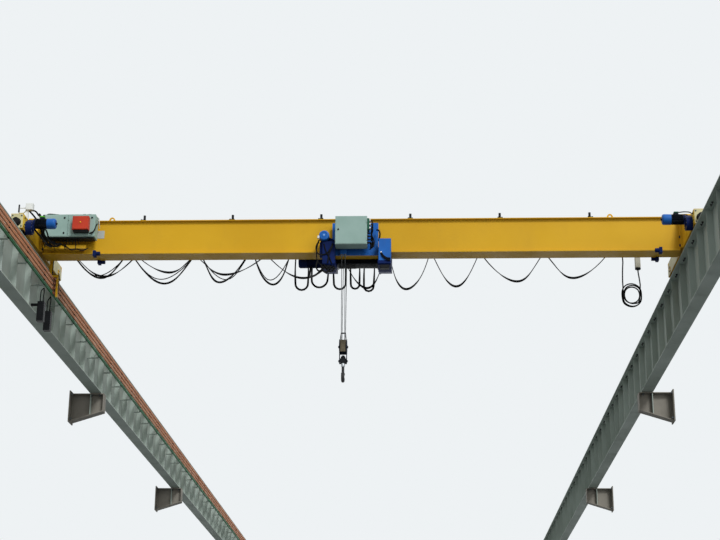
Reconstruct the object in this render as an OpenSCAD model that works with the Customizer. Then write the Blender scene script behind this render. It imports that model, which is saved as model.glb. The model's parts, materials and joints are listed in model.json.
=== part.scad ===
// Overhead bridge crane with one box girder, a low-headroom rope hoist and its elevated runway.
// Row frame: X across the hall from the left column face, Y along the runway, Z up.
// The origin is the middle of the first left corbel's back plate.
// The bridge is drawn from its own datum: span centre, girder centreline, top of rail.

/* [Runway] */
// Distance between the two rail centres
span = 9700; // [8800:50:10400]
// Length of one bay, corbel to corbel
bay_len = 9000; // [8250:750:9750]
// Number of bays
bay_count = 4; // [2:1:4]
// Column face to rail centre
rail_offset = 450; // [430:5:480]
// Height of a runway beam
beam_h = 840; // [780:10:900]
// Width of its top flange
beam_top_w = 260; // [240:5:280]
// Width of its bottom flange
beam_bottom_w = 205; // [190:5:220]
// Thickness of its flanges
beam_flange_t = 14; // [10:1:18]
// Thickness of its web
beam_web_t = 10; // [8:1:14]
// Spacing of the web stiffeners
stiffener_pitch = 750; // [700:25:800]
// Thickness of the web stiffeners
stiffener_t = 10; // [8:1:14]
// Gap between two beams over a corbel
beam_gap = 8; // [6:1:12]
// Runway past the first and last corbel
runway_overhang = 150; // [130:10:180]

/* [Rail] */
// Height of the flat-bottomed rail
rail_h = 90; // [80:1:100]
// Width of its foot
rail_foot_w = 80; // [70:1:90]
// Thickness of its foot at the edge
rail_foot_t = 8; // [6:1:10]
// Width of its head
rail_head_w = 40; // [36:1:48]
// Depth of its head
rail_head_h = 24; // [20:1:28]
// Thickness of its web
rail_web_t = 10; // [8:1:14]
// Thickness of the end stop plates
stop_t = 20; // [16:1:24]
// Height of an end stop above the rail
stop_h = 170; // [150:5:200]
// Width of an end stop
stop_w = 150; // [130:5:180]

/* [Corbels] */
// Reach of a corbel from the column face
corbel_len = 600; // [580:5:640]
// Depth of a corbel at the column
corbel_root_h = 505; // [460:5:515]
// Depth of a corbel at its nose
corbel_nose_h = 320; // [280:5:360]
// Width of a corbel's flanges
corbel_w = 200; // [180:5:210]
// Thickness of a corbel's flanges
corbel_t = 14; // [12:1:18]
// Thickness of a corbel's web and nose plate
corbel_web_t = 12; // [8:1:16]
// Middle of the back plate to the corbel's top
corbel_rise = 240; // [230:1:250]
// Thickness of the bearing plate under a beam
bearing_t = 10; // [8:1:14]
// Length of the bearing plate
bearing_len = 180; // [150:5:200]
// Width of the back plate
anchor_w = 320; // [310:5:340]
// Height of the back plate
anchor_h = 560; // [550:5:600]
// Thickness of the back plate
anchor_t = 20; // [16:1:25]
// Anchor hole spacing along the runway
anchor_pitch_y = 260; // [250:5:270]
// Anchor hole spacing up the column
anchor_pitch_z = 440; // [400:5:460]
// Anchor hole diameter
anchor_hole_d = 22; // [18:1:26]

/* [Conductor line] */
// Beam centre to conductor bar centre
bar_offset = 215; // [205:1:230]
// Top of rail down to the upper bar
bar_drop = 265; // [255:1:280]
// Spacing of the bars
bar_pitch = 75; // [65:1:85]
// Height of one bar
bar_h = 34; // [28:1:38]
// Depth of one bar
bar_w = 26; // [22:1:30]
// Width of the slot in a bar
bar_slot = 10; // [8:1:12]
// Depth of the slot in a bar
bar_slot_depth = 16; // [12:1:18]
// Spacing of the bar brackets
bracket_pitch = 1000; // [900:50:1100]
// Position of the first bar bracket
bracket_start = 60; // [50:5:80]
// Width of a bar bracket
bracket_w = 40; // [30:1:50]
// Thickness of a bar bracket
bracket_t = 12; // [8:1:14]
// Width and depth of a feed box
feed_box_w = 100; // [80:5:120]
// Height of a feed box
feed_box_h = 300; // [260:10:340]
// Place of the feed boxes along the runway
feed_box_y = 4150; // [4000:50:4200]
// Spacing of the two feed boxes
feed_box_pitch = 420; // [300:10:500]

/* [Girder] */
// Rest place of the bridge along the runway
bridge_y = 4320; // [4000:10:4600]
// Height of the box girder
girder_h = 530; // [500:5:560]
// Width of the girder flanges
girder_w = 310; // [300:5:330]
// Width over the two webs
box_w = 220; // [200:5:230]
// Thickness of the top flange
top_flange_t = 12; // [10:1:16]
// Thickness of the bottom flange
bottom_flange_t = 20; // [16:1:24]
// Thickness of the girder webs
girder_web_t = 8; // [6:1:10]
// Thickness of the end plates
end_plate_t = 16; // [12:1:20]
// Width of the end plates
end_plate_w = 400; // [360:5:420]
// Span centre to a lifting lug
lug_x = 3740; // [3600:10:3850]
// Height of a lifting lug
lug_h = 105; // [95:1:120]
// Length of a lifting lug
lug_len = 150; // [130:5:180]
// Thickness of a lifting lug
lug_t = 16; // [12:1:20]
// Diameter of the hole in a lifting lug
lug_hole_d = 40; // [32:1:46]
// Left rail centre to the left trolley stop
stop_left_in = 940; // [920:5:960]
// Right rail centre to the right trolley stop
stop_right_in = 440; // [420:5:460]

/* [End trucks] */
// Length of an end truck
truck_len = 2400; // [2300:20:2500]
// Width of an end truck
truck_w = 180; // [170:2:190]
// Height of the end truck's box
truck_h = 220; // [200:5:240]
// Underside of the end truck above the rail
truck_clear = 30; // [25:1:40]
// Wall of the end truck's box
truck_wall = 10; // [8:1:12]
// Top length of the raised saddle
saddle_len = 520; // [480:10:560]
// Foot length of the raised saddle
saddle_foot = 840; // [760:10:900]
// Distance between the wheels of a truck
wheel_base = 2000; // [1900:10:2060]
// Tread diameter of a bridge wheel
wheel_d = 200; // [180:2:210]
// Flange height of a bridge wheel
wheel_lip = 15; // [12:1:18]
// Flange thickness of a bridge wheel
wheel_lip_t = 12; // [10:1:14]
// Side play of a wheel on the rail head
wheel_play = 6; // [5:0.5:8]
// Diameter of a wheel axle
axle_d = 50; // [40:1:60]
// Running gap of a wheel above the rail
wheel_gap = 0.3; // [0.2:0.1:0.5]
// Diameter of a rubber buffer
buffer_d = 100; // [80:5:120]
// Length of a rubber buffer
buffer_len = 75; // [60:5:90]

/* [Travel drives] */
// Thickness of a gear unit
gear_t = 90; // [80:5:105]
// Radius of a gear unit at the wheel
gear_wheel_r = 100; // [92:1:104]
// Radius of a gear unit at the motor
gear_motor_r = 60; // [54:1:66]
// Wheel axle to motor axis, along the truck
motor_shift = 70; // [50:5:100]
// Wheel axle to motor axis, upwards
motor_lift = 90; // [80:2:110]
// Diameter of a travel motor
motor_d = 156; // [140:2:164]
// Length of a travel motor
motor_len = 300; // [270:5:330]

/* [Bridge electrics] */
// Left rail centre to the cabinets
cabinet_inset = 162; // [150:2:180]
// Width of the left cabinet
cabinet_left_w = 374; // [340:2:400]
// Width of the right cabinet
cabinet_right_w = 408; // [380:2:430]
// Height of the cabinets
cabinet_h = 349; // [320:1:370]
// Depth of the cabinets
cabinet_depth = 200; // [180:5:220]
// Underside of the cabinets above the girder's underside
cabinet_z = 187; // [170:1:200]
// Gap between the two cabinets
cabinet_gap = 3; // [2:1:6]
// Girder centreline to the back of the cabinets
cabinet_back = 205; // [202:1:220]
// Width of the alarm box
alarm_w = 240; // [220:5:260]
// Height of the alarm box
alarm_h = 208; // [190:2:220]
// Depth of the alarm box
alarm_depth = 100; // [80:5:120]

/* [Festoon] */
// Spacing of the festoon arms
arm_pitch = 1335; // [1300:5:1350]
// First festoon arm from the span centre
arm_start = -3240; // [-3300:10:-3180]
// Number of festoon arms
arm_count = 6; // [5:1:6]
// Width of a festoon arm
arm_w = 40; // [30:1:50]
// Height of the clamp bolt over the girder
clamp_h = 115; // [100:1:130]
// Girder centreline to the hoist cable track
hoist_track_y = 620; // [600:5:640]
// Girder centreline to the pendant cable track
pendant_track_y = 740; // [730:5:760]
// Underside of the tracks above the girder's underside
track_z = 300; // [280:5:330]
// Height of a track
track_h = 35; // [30:1:40]
// Width of a track
track_w = 32; // [28:1:38]
// Thickness of the festoon cable bundle
cable_t = 12; // [8:1:14]
// Width of the festoon cable bundle
cable_w = 26; // [20:1:32]
// Width of a cable carrier
carrier_w = 60; // [50:2:70]
// Height of a cable carrier
carrier_h = 45; // [40:1:55]

/* [Trolley] */
// Rest place of the trolley's hook line from the span centre
hook_x = -220; // [-400:10:-100]
// Width of the trolley side plates
plate_len = 683; // [660:1:700]
// Hook line to the side plates' left edge
plate_left = 171; // [160:1:180]
// Height of the front plate above the girder's underside
plate_top = 447; // [430:1:460]
// Drop of the side plates below the girder
plate_drop = 62; // [55:1:70]
// Thickness of the side plates
plate_t = 12; // [10:1:15]
// Gap between the girder flange and a side plate
plate_gap = 28; // [24:1:34]
// Diameter of a trolley wheel
trolley_wheel_d = 120; // [100:2:130]
// Distance between the trolley wheels
trolley_wheel_base = 480; // [440:5:500]
// Width of the left cross frame
left_frame_w = 180; // [160:2:190]
// Width of the right cross frame
right_frame_w = 193; // [180:1:200]
// Clearance under the girder
frame_clear = 110; // [90:5:120]
// Depth of the cross frames under the girder
frame_h = 166; // [150:2:180]
// Front face of the cross frames from the girder centreline
frame_front = 400; // [380:5:415]
// Girder centreline to where a cross frame starts to taper
taper_y = 60; // [40:5:90]
// Front leg of the left frame above the girder's underside
frame_leg_top = 88; // [70:1:92]

/* [Hoist] */
// Girder centreline to the drum axis
drum_y = 360; // [350:1:370]
// Drum axis above the girder's underside
drum_z = 30; // [20:1:40]
// Diameter of the rope drum
drum_d = 210; // [200:2:216]
// Diameter of the drum flanges
drum_rim_d = 244; // [236:2:250]
// Spacing of the drum grooves
groove_pitch = 12.5; // [10:0.5:14]
// Diameter of the wire rope
rope_d = 9; // [8:0.5:10]
// Sideways distance of the two rope planes
rope_spread = 50; // [46:1:54]
// Diameter of the hoist motor
hoist_motor_d = 190; // [170:2:200]
// Length of the hoist motor
hoist_motor_len = 410; // [380:5:430]
// Width of the hoist cabinet
hoist_box_w = 466; // [440:2:480]
// Height of the hoist cabinet
hoist_box_h = 435; // [420:1:450]
// Depth of the hoist cabinet
hoist_box_depth = 220; // [200:5:240]
// Back of the hoist cabinet from the girder centreline
hoist_box_back = 280; // [270:2:290]

/* [Hook block] */
// Sheave axis below the girder's underside at rest
block_drop = 1412; // [1370:2:1520]
// Pitch diameter of the block sheaves
sheave_d = 200; // [190:2:210]
// Width of a block sheave
sheave_w = 34; // [30:1:36]
// Thickness of the block's cheeks
cheek_t = 10; // [8:1:12]
// Sheave axis to the crosshead
crosshead_drop = 214; // [200:2:230]
// Diameter of the hook's shank
shank_d = 40; // [36:1:44]
// Radius of the hook's bowl, to the middle of the bar
hook_r = 50; // [46:1:54]
// Thickness of the hook's bar
hook_bar_d = 50; // [46:1:54]
// Length of the hook from crosshead to bowl centre
hook_drop = 245; // [238:1:265]

/* [Hidden] */

$fn = 48;
seat = 0.3;
eps = 1;

// Runway levels and places
hall_w = span + 2 * rail_offset;
runway_start = -runway_overhang;
runway_end = bay_count * bay_len + runway_overhang;
corbel_top = corbel_rise;
beam_z = corbel_top + bearing_t;
beam_top = beam_z + beam_h;
rail_top = beam_top + rail_h;
stop_face = runway_start + 250;
rail_xs = [rail_offset, hall_w - rail_offset];
bar_x = rail_offset + bar_offset;
bar_count = 4;
function bar_z(i) = rail_top - bar_drop - i * bar_pitch;

// Bridge levels, from the bridge datum
half_span = span / 2;
truck_face = half_span - truck_w / 2;
plate_face = truck_face - end_plate_t;
girder_end = plate_face - end_plate_t;
truck_top = truck_clear + truck_h;
wheel_z = wheel_d / 2 + wheel_gap;
wheel_tread = rail_head_w + 2 * wheel_play;
wheel_pocket = wheel_d / 2 + wheel_lip + 15;
// Each truck reaches past the pockets of its wheels
truck_end = max(truck_len / 2, wheel_base / 2 + wheel_pocket);
motor_y = -wheel_base / 2 + motor_shift;
motor_z = wheel_z + motor_lift;
cabinet_x = -half_span + cabinet_inset;
cabinets_w = cabinet_left_w + cabinet_gap + cabinet_right_w;

// Trolley places, from the bridge datum at rest
plate_x = hook_x - plate_left;
plate_end = plate_x + plate_len;
plate_y = girder_w / 2 + plate_gap;
plate_face_y = plate_y + plate_t;
wheel_x0 = plate_x + (plate_len - trolley_wheel_base) / 2;
wheel_x1 = wheel_x0 + trolley_wheel_base;
frame_x = plate_x - 129;
frame_end = frame_x + left_frame_w;
right_x = plate_end - eps;
right_end = right_x + right_frame_w;
frame_top = -frame_clear;
frame_bottom = -frame_clear - frame_h;
rear_leg_y = plate_face_y + 15;
frame_back = drum_y + 130;
shelf_z = frame_bottom + 66;
drive_x = hook_x - 277;
drive_z = 171;
drive_d = 150;
rope_xs = [hook_x - rope_spread / 2, hook_x + rope_spread / 2];
groove_depth = 4;
groove_slope = atan2(groove_pitch / 2, groove_depth);
rope_rear_y = drum_y - drum_d / 2 + groove_depth - rope_d / 2 / sin(groove_slope) - seat;
rope_front_y = plate_face_y + 40;
groove_r = sheave_d / 2 - rope_d / 2 - seat;
sheave_side = 4;
cheek_r = sheave_d / 2 + 14;
cheek_in = rope_spread / 2 + sheave_w / 2 + sheave_side;
block_half = cheek_in + cheek_t;
sheave_z = -block_drop;
crosshead_z = sheave_z - crosshead_drop;
bowl_z = crosshead_z - hook_drop;

// Festoon lines: carrier places along the girder and how far each loop hangs
pendant_xs = [-4450, -3480, -2570, -1470, -300, 400, 1075, 1830, 2810, 3800];
pendant_sags = [310, 250, 290, 352, 520, 540, 500, 425, 375];
hoist_xs = [-4480, -3575, -2510, -1690, -1040, -770, -455, -195, 20, 250];
hoist_sags = [375, 470, 455, 495, 585, 545, 575, 570, 610];
carrier_z = track_z - carrier_h;
cord_d = 20;
gland_z = 0;
station_flange_h = 22;
pendant_x = 4225;
pendant_z = 32;
pendant_h = 230;
// Route of the lead from the cable track down to the coil, and from the coil up to the station
lead_down = [[4000, 740, 254.7], [4000, 740, 200], [4002, 740, 130], [3996, 740, 60],
             [3990, 740, -20], [3986, 740, -110], [3984, 740, -190], [3984, 740, -261]];
lead_up = [[4245, 740, -259.7], [4244, 740, -210], [4240, 740, -160], [4234, 740, -105],
           [4228, 740, -60], [4225, 740, -25], [4225, 740, -0.3]];
coil_x = 4115;
coil_low = -480;
coil_high = -350;
coil_r = 150;
coil_band = 48;

module at_bridge() translate([hall_w / 2, bridge_y, rail_top]) children();
module block(x, y, z) translate([x[0], y[0], z[0]]) cube([x[1] - x[0], y[1] - y[0], z[1] - z[0]]);
// Carries a flat outline (across, up) along Y from y0 to y1
module along_y(y0, y1) translate([0, y1, 0]) rotate([90, 0, 0]) linear_extrude(y1 - y0) children();
// Carries a flat outline (along Y, up) along X from x0 to x1
module along_x(x0, x1) translate([x0, 0, 0]) rotate([90, 0, 90]) linear_extrude(x1 - x0) children();
module rod_x(x0, x1, y, z, d) translate([x0, y, z]) rotate([0, 90, 0]) cylinder(h = x1 - x0, d = d);
module rod_y(y0, y1, x, z, d) translate([x, y1, z]) rotate([90, 0, 0]) cylinder(h = y1 - y0, d = d);
// Two round ends joined by a straight-sided link, as a flat outline
module link(p, rp, q, rq) {
    n = [p[1] - q[1], q[0] - p[0]] / norm(q - p);
    translate(p) circle(r = rp);
    translate(q) circle(r = rq);
    polygon([p + n * rp * 0.98, q + n * rq * 0.98, q - n * rq * 0.98, p - n * rp * 0.98]);
}
module both_sides() {
    children();
    translate([hall_w, 0, 0]) mirror([1, 0, 0]) children();
}

// Welded runway beam with end plates and web stiffeners, centred on X = 0
module runway_beam(y0, y1) {
    half = beam_bottom_w / 2 - 6;
    z0 = beam_z + beam_flange_t / 2;
    z1 = beam_top - beam_flange_t / 2;
    first = ceil((y0 + stiffener_pitch / 2) / stiffener_pitch);
    last = floor((y1 - stiffener_pitch / 2) / stiffener_pitch);
    along_y(y0, y1) {
        translate([-beam_top_w / 2, beam_top - beam_flange_t]) square([beam_top_w, beam_flange_t]);
        translate([-beam_bottom_w / 2, beam_z]) square([beam_bottom_w, beam_flange_t]);
        translate([-beam_web_t / 2, z0]) square([beam_web_t, z1 - z0]);
    }
    for (i = [first:last])
        block([-half, half], [i * stiffener_pitch, i * stiffener_pitch + stiffener_t], [z0, z1]);
    block([-half, half], [y0, y0 + stiffener_t], [z0, z1]);
    block([-half, half], [y1 - stiffener_t, y1], [z0, z1]);
}
module runway_beams(x) color("#8a978f") translate([x, 0, 0])
    for (i = [0:bay_count - 1])
        runway_beam(i == 0 ? runway_start : i * bay_len + beam_gap / 2,
                    i == bay_count - 1 ? runway_end : (i + 1) * bay_len - beam_gap / 2);
module runway_beams_left() runway_beams(rail_xs[0]);
module runway_beams_right() runway_beams(rail_xs[1]);

// Right half of the flat-bottomed rail's outline, from the foot up
rail_half = [[rail_foot_w / 2, 0], [rail_foot_w / 2, rail_foot_t], [rail_web_t, rail_foot_t + 8],
             [rail_web_t / 2, rail_foot_t + 14], [rail_web_t / 2, rail_h - rail_head_h - 6],
             [rail_head_w / 2, rail_h - rail_head_h + 2], [rail_head_w / 2, rail_h - 5],
             [rail_head_w / 2 - 5, rail_h]];
module rail_outline() polygon(concat(rail_half, [for (i = [len(rail_half) - 1:-1:0])
                                                 [-rail_half[i][0], rail_half[i][1]]]));
module crane_rails() color("#6b6058")
    for (x = rail_xs)
        translate([x, 0, beam_top]) along_y(stop_face, runway_end - (stop_face - runway_start))
            rail_outline();

// Plate bracket bolted to a column, with a sloping bottom flange and a closed nose
module corbel() {
    root = corbel_top - corbel_root_h;
    nose = corbel_top - corbel_nose_h;
    difference() {
        block([0, anchor_t], [-anchor_w / 2, anchor_w / 2], [-anchor_h / 2, anchor_h / 2]);
        for (y = [-anchor_pitch_y / 2, anchor_pitch_y / 2], z = [-anchor_pitch_z / 2, anchor_pitch_z / 2])
            rod_x(-eps, anchor_t + eps, y, z, anchor_hole_d);
    }
    along_y(-corbel_web_t / 2, corbel_web_t / 2)
        polygon([[anchor_t / 2, root + corbel_t / 2], [corbel_len - corbel_t / 2, nose + corbel_t / 2],
                 [corbel_len - corbel_t / 2, corbel_top - corbel_t / 2],
                 [anchor_t / 2, corbel_top - corbel_t / 2]]);
    along_y(-corbel_w / 2, corbel_w / 2) {
        polygon([[anchor_t / 2, corbel_top - corbel_t], [corbel_len, corbel_top - corbel_t],
                 [corbel_len, corbel_top], [anchor_t / 2, corbel_top]]);
        polygon([[anchor_t / 2, root], [corbel_len, nose], [corbel_len, nose + corbel_t],
                 [anchor_t / 2, root + corbel_t]]);
        polygon([[corbel_len - corbel_web_t, nose], [corbel_len, nose], [corbel_len, corbel_top],
                 [corbel_len - corbel_web_t, corbel_top]]);
    }
    block([rail_offset - bearing_len / 2, rail_offset + bearing_len / 2], [-corbel_w / 2, corbel_w / 2],
          [corbel_top - eps, beam_z]);
}
module corbels() color("#93a09a") both_sides()
    for (i = [0:bay_count]) translate([0, i * bay_len, 0]) corbel();

// Upright plate with two gussets behind it, at the near end of a rail
module end_stop() {
    top = rail_top + stop_h;
    block([-stop_w / 2, stop_w / 2], [stop_face - stop_t, stop_face], [beam_top, top]);
    for (x = [-stop_w / 4, stop_w / 4])
        along_x(x - stop_t / 4, x + stop_t / 4)
            polygon([[runway_start + stop_t, beam_top], [stop_face - eps, beam_top],
                     [stop_face - eps, top - stop_t], [stop_face - 2 * stop_t, top - stop_t]]);
}
module end_stops() color("#d8a51f") for (x = rail_xs) translate([x, 0, 0]) {
    end_stop();
    translate([0, runway_start + runway_end, 0]) mirror([0, 1, 0]) end_stop();
}

module conductor_bar(i) translate([bar_x, 0, bar_z(i)])
    along_y(runway_start + 100, runway_end - 100) difference() {
        translate([-bar_w / 2, -bar_h / 2]) square([bar_w, bar_h]);
        translate([bar_w / 2 - bar_slot_depth, -bar_slot / 2]) square([bar_slot_depth + eps, bar_slot]);
    }
module conductor_bars() color("#b5632f") for (i = [0:bar_count - 2]) conductor_bar(i);
module earth_bar() color("#2f6b45") conductor_bar(bar_count - 1);
module bar_brackets() color("#26282a") {
    back = bar_x - bar_w / 2;
    low = bar_z(bar_count - 1) - bar_h / 2 - 24;
    count = floor((runway_end - 2 * runway_overhang - bracket_start) / bracket_pitch);
    for (i = [0:count]) translate([0, bracket_start + i * bracket_pitch, 0]) {
        block([back - bracket_t, back], [-bracket_w / 2, bracket_w / 2], [low, bar_z(0) + bar_h / 2 + 8]);
        block([rail_offset + beam_web_t / 2, back - bracket_t / 2], [-bracket_w / 2, bracket_w / 2],
              [low, low + bracket_t]);
    }
}
// Two closed boxes on the web of the left beam, each on a stub plate
module feed_boxes() color("#17191b") for (i = [0, 1]) {
    web = rail_offset + beam_web_t / 2;
    y = feed_box_y + i * feed_box_pitch;
    x = rail_offset + beam_bottom_w / 2 + 10;
    top = beam_z + 190 - i * 20;
    block([x, x + feed_box_w], [y, y + feed_box_w], [top - feed_box_h, top]);
    block([web, x + eps], [y + feed_box_w / 2 - bracket_t / 2, y + feed_box_w / 2 + bracket_t / 2],
          [top - 60, top - 20]);
}

module girder_top_flange() color("#c89a1e") at_bridge()
    block([-girder_end, girder_end], [-girder_w / 2, girder_w / 2], [girder_h - top_flange_t, girder_h]);
module girder_bottom_flange() color("#c89a1e") at_bridge()
    block([-girder_end, girder_end], [-girder_w / 2, girder_w / 2], [0, bottom_flange_t]);
module girder_webs() color("#c89a1e") at_bridge()
    for (y = [-box_w / 2, box_w / 2 - girder_web_t])
        block([-girder_end, girder_end], [y, y + girder_web_t], [bottom_flange_t, girder_h - top_flange_t]);
module girder_end_plates() color("#c89a1e") at_bridge()
    for (x = [-plate_face, girder_end])
        block([x, x + end_plate_t], [-end_plate_w / 2, end_plate_w / 2], [truck_clear, girder_h]);
// Eye plate with a rounded head
module lug() along_y(-lug_t / 2, lug_t / 2) difference() {
    union() {
        translate([0, girder_h + lug_h - lug_hole_d]) circle(d = 2 * lug_hole_d);
        polygon([[-lug_len / 2, girder_h], [lug_len / 2, girder_h],
                 [lug_hole_d * 0.9, girder_h + lug_h - lug_hole_d / 2],
                 [-lug_hole_d * 0.9, girder_h + lug_h - lug_hole_d / 2]]);
    }
    translate([0, girder_h + lug_h - lug_hole_d]) circle(d = lug_hole_d);
}
module lifting_lugs() color("#c89a1e") at_bridge()
    for (x = [-lug_x, lug_x]) translate([x, 0, 0]) lug();

// Clamp round the edge of the bottom flange with a rubber buffer that faces the trolley
stop_buffer_len = 60;
stop_body = 44;
module trolley_stop() {
    edge = girder_w / 2;
    difference() {
        block([0, stop_body], [-edge - 70, -edge + 30], [-52, bottom_flange_t + 12]);
        block([-eps, stop_body + eps], [-edge - seat, -edge + 30 + eps], [-seat, bottom_flange_t + seat]);
    }
    rod_x(-stop_buffer_len, 0, -edge - 36, -10, 62);
}
trolley_stop_xs = [-half_span + stop_left_in, half_span - stop_right_in];
module trolley_stops() color("#16305c") at_bridge() for (m = [0, 1]) mirror([0, m, 0]) {
    translate([trolley_stop_xs[1], 0, 0]) trolley_stop();
    translate([trolley_stop_xs[0], 0, 0]) mirror([1, 0, 0]) trolley_stop();
}

// Box of the end truck, open below at its wheels, with the saddle that takes the girder
module end_truck() {
    inner = truck_w / 2 - truck_wall;
    difference() {
        union() {
            block([-truck_w / 2, truck_w / 2], [-truck_end, truck_end], [truck_clear, truck_top]);
            along_x(-truck_w / 2, truck_w / 2)
                polygon([[-saddle_foot / 2, truck_top - eps], [saddle_foot / 2, truck_top - eps],
                         [saddle_len / 2, girder_h], [-saddle_len / 2, girder_h]]);
            block([-truck_w / 2 - end_plate_t, 0], [-end_plate_w / 2, end_plate_w / 2],
                  [truck_clear, girder_h]);
        }
        block([-inner, inner], [-truck_end + truck_wall, truck_end - truck_wall],
              [truck_clear + truck_wall, truck_top - truck_wall]);
        for (y = [-wheel_base / 2, wheel_base / 2]) {
            block([-inner, inner], [y - wheel_pocket, y + wheel_pocket], [truck_clear - eps, truck_top / 2]);
            rod_x(-truck_w, truck_w, y, wheel_z, axle_d + 2 * seat);
        }
    }
}
module end_truck_left() color("#cf9f22") at_bridge() translate([-half_span, 0, 0]) mirror([1, 0, 0]) end_truck();
module end_truck_right() color("#cf9f22") at_bridge() translate([half_span, 0, 0]) end_truck();
module bridge_wheel() {
    w = wheel_tread / 2;
    rod_x(-w - wheel_lip_t, w + wheel_lip_t, 0, wheel_z, wheel_d);
    rod_x(-w - wheel_lip_t, -w, 0, wheel_z, wheel_d + 2 * wheel_lip);
    rod_x(w, w + wheel_lip_t, 0, wheel_z, wheel_d + 2 * wheel_lip);
    rod_x(-truck_w / 2, truck_w / 2, 0, wheel_z, axle_d);
}
module bridge_wheels() color("#5b5d60") at_bridge()
    for (x = [-half_span, half_span], y = [-wheel_base / 2, wheel_base / 2])
        translate([x, y, 0]) bridge_wheel();
module bridge_buffers() color("#1b1b1c") at_bridge()
    for (x = [-half_span, half_span], m = [0, 1]) mirror([0, m, 0]) translate([x, truck_end, 0]) {
        rod_y(0, 12, 0, wheel_z + 20, buffer_d + 20);
        rod_y(12 - eps, buffer_len, 0, wheel_z + 20, buffer_d);
    }

// Flat gear unit on the wheel shaft, at the inner face of the left truck
module gear_unit() {
    along_x(-truck_face + seat, -truck_face + gear_t)
        link([-wheel_base / 2, wheel_z], gear_wheel_r, [motor_y, motor_z], gear_motor_r);
    rod_x(-truck_face + gear_t - eps, -truck_face + gear_t + 18, motor_y, motor_z, motor_d - 8);
    rod_x(-truck_face + gear_t - eps, -truck_face + gear_t + 14, -wheel_base / 2, wheel_z, 90);
}
// Finned motor body with a rounded fan cover and a terminal box
module travel_motor() {
    x0 = -truck_face + gear_t + 18 + seat;
    translate([x0, motor_y, motor_z]) rotate([0, 90, 0]) rotate_extrude()
        polygon([[0, 0], [motor_d / 2, 0], [motor_d / 2, 12], [motor_d / 2 - 9, 14],
                 [motor_d / 2 - 9, motor_len * 0.55], [motor_d / 2, motor_len * 0.58],
                 [motor_d / 2, motor_len - 14], [motor_d / 2 - 12, motor_len], [0, motor_len]]);
    block([x0 + 30, x0 + 130], [motor_y - 45, motor_y + 45],
          [motor_z + motor_d / 2 - 20, motor_z + motor_d / 2 + 30]);
}
module travel_gear_units() color("#1d2c5e") at_bridge() for (m = [0, 1]) mirror([m, 0, 0]) gear_unit();
module travel_motors() color("#1f4fae") at_bridge() for (m = [0, 1]) mirror([m, 0, 0]) travel_motor();

module control_cabinets() color("#9db5b0") at_bridge() {
    x = [cabinet_x, cabinet_x + cabinet_left_w];
    y = [-cabinet_back - cabinet_depth, -cabinet_back];
    z = [cabinet_z, cabinet_z + cabinet_h];
    block(x, y, z);
    block([x[1] + cabinet_gap, cabinet_x + cabinets_w], y, z);
}
// Stand-off channels behind the cabinets, and the cable bar below them
bar_front = 290;
module cabinet_brackets() color("#c89a1e") at_bridge() {
    for (x = [60, 250, 480, 690])
        block([cabinet_x + x, cabinet_x + x + 40], [-cabinet_back, -box_w / 2],
              [cabinet_z + 30, cabinet_z + cabinet_h - 30]);
    block([cabinet_x + 5, cabinet_x + 640], [-bar_front, -bar_front + 40], [40, 90]);
    for (x = [90, 540])
        block([cabinet_x + x, cabinet_x + x + 40], [-bar_front + 40 - eps, -box_w / 2], [50, 80]);
}
module alarm_box() color("#d63a2b") at_bridge() {
    x = cabinet_x + cabinet_left_w + cabinet_gap + 90;
    y = -cabinet_back - cabinet_depth;
    block([x, x + alarm_w], [y - alarm_depth, y], [cabinet_z + 77, cabinet_z + 77 + alarm_h]);
}
// Switch box on a post, with a cranked lever that reaches over the runway
module limit_switch() color("#d5dad8") at_bridge() {
    y = -truck_end + 300;
    z = truck_top + 160;
    x = -half_span + 60;
    block([x - 15, x + 15], [y - 15, y + 15], [truck_top, z + eps]);
    block([x - 25, x + 80], [y - 40, y + 40], [z, z + 100]);
    rod_x(x - 130, x - 25 + eps, y, z + 40, 14);
    translate([x - 130, y, z - 25]) cylinder(h = 115, d = 22);
}
// Bracket from the left truck, down between rail and conductor bars and over them to the shoes
arm_y = 280;
shoe_gap = 5;
shoe_t = 16;
shoe_face = -half_span + bar_offset + bar_w / 2 + shoe_gap;
shoe_back = shoe_face + shoe_t + 11;
module collector_arm() color("#cf9f22") at_bridge() {
    y = [arm_y - 25, arm_y + 25];
    drop_x = -half_span + beam_top_w / 2 + 12;
    over_z = -bar_drop + bar_h / 2 + 23;
    block([-truck_face, drop_x + 40], y, [truck_clear + 30, truck_clear + 70]);
    block([drop_x, drop_x + 40], y, [over_z, truck_clear + 31]);
    block([drop_x, shoe_back + 25], y, [over_z, over_z + 35]);
    block([shoe_back, shoe_back + 25], y, [-bar_drop - 3 * bar_pitch - 45, over_z + eps]);
}
module collector_shoes() color("#8a4a2a") at_bridge() for (i = [0:bar_count - 1]) {
    z = -bar_drop - i * bar_pitch;
    block([shoe_face, shoe_face + shoe_t], [arm_y - 90, arm_y + 90], [z - 14, z + 14]);
    block([shoe_face + shoe_t - eps, shoe_back], [arm_y - 12, arm_y + 12], [z - 8, z + 8]);
}

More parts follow.
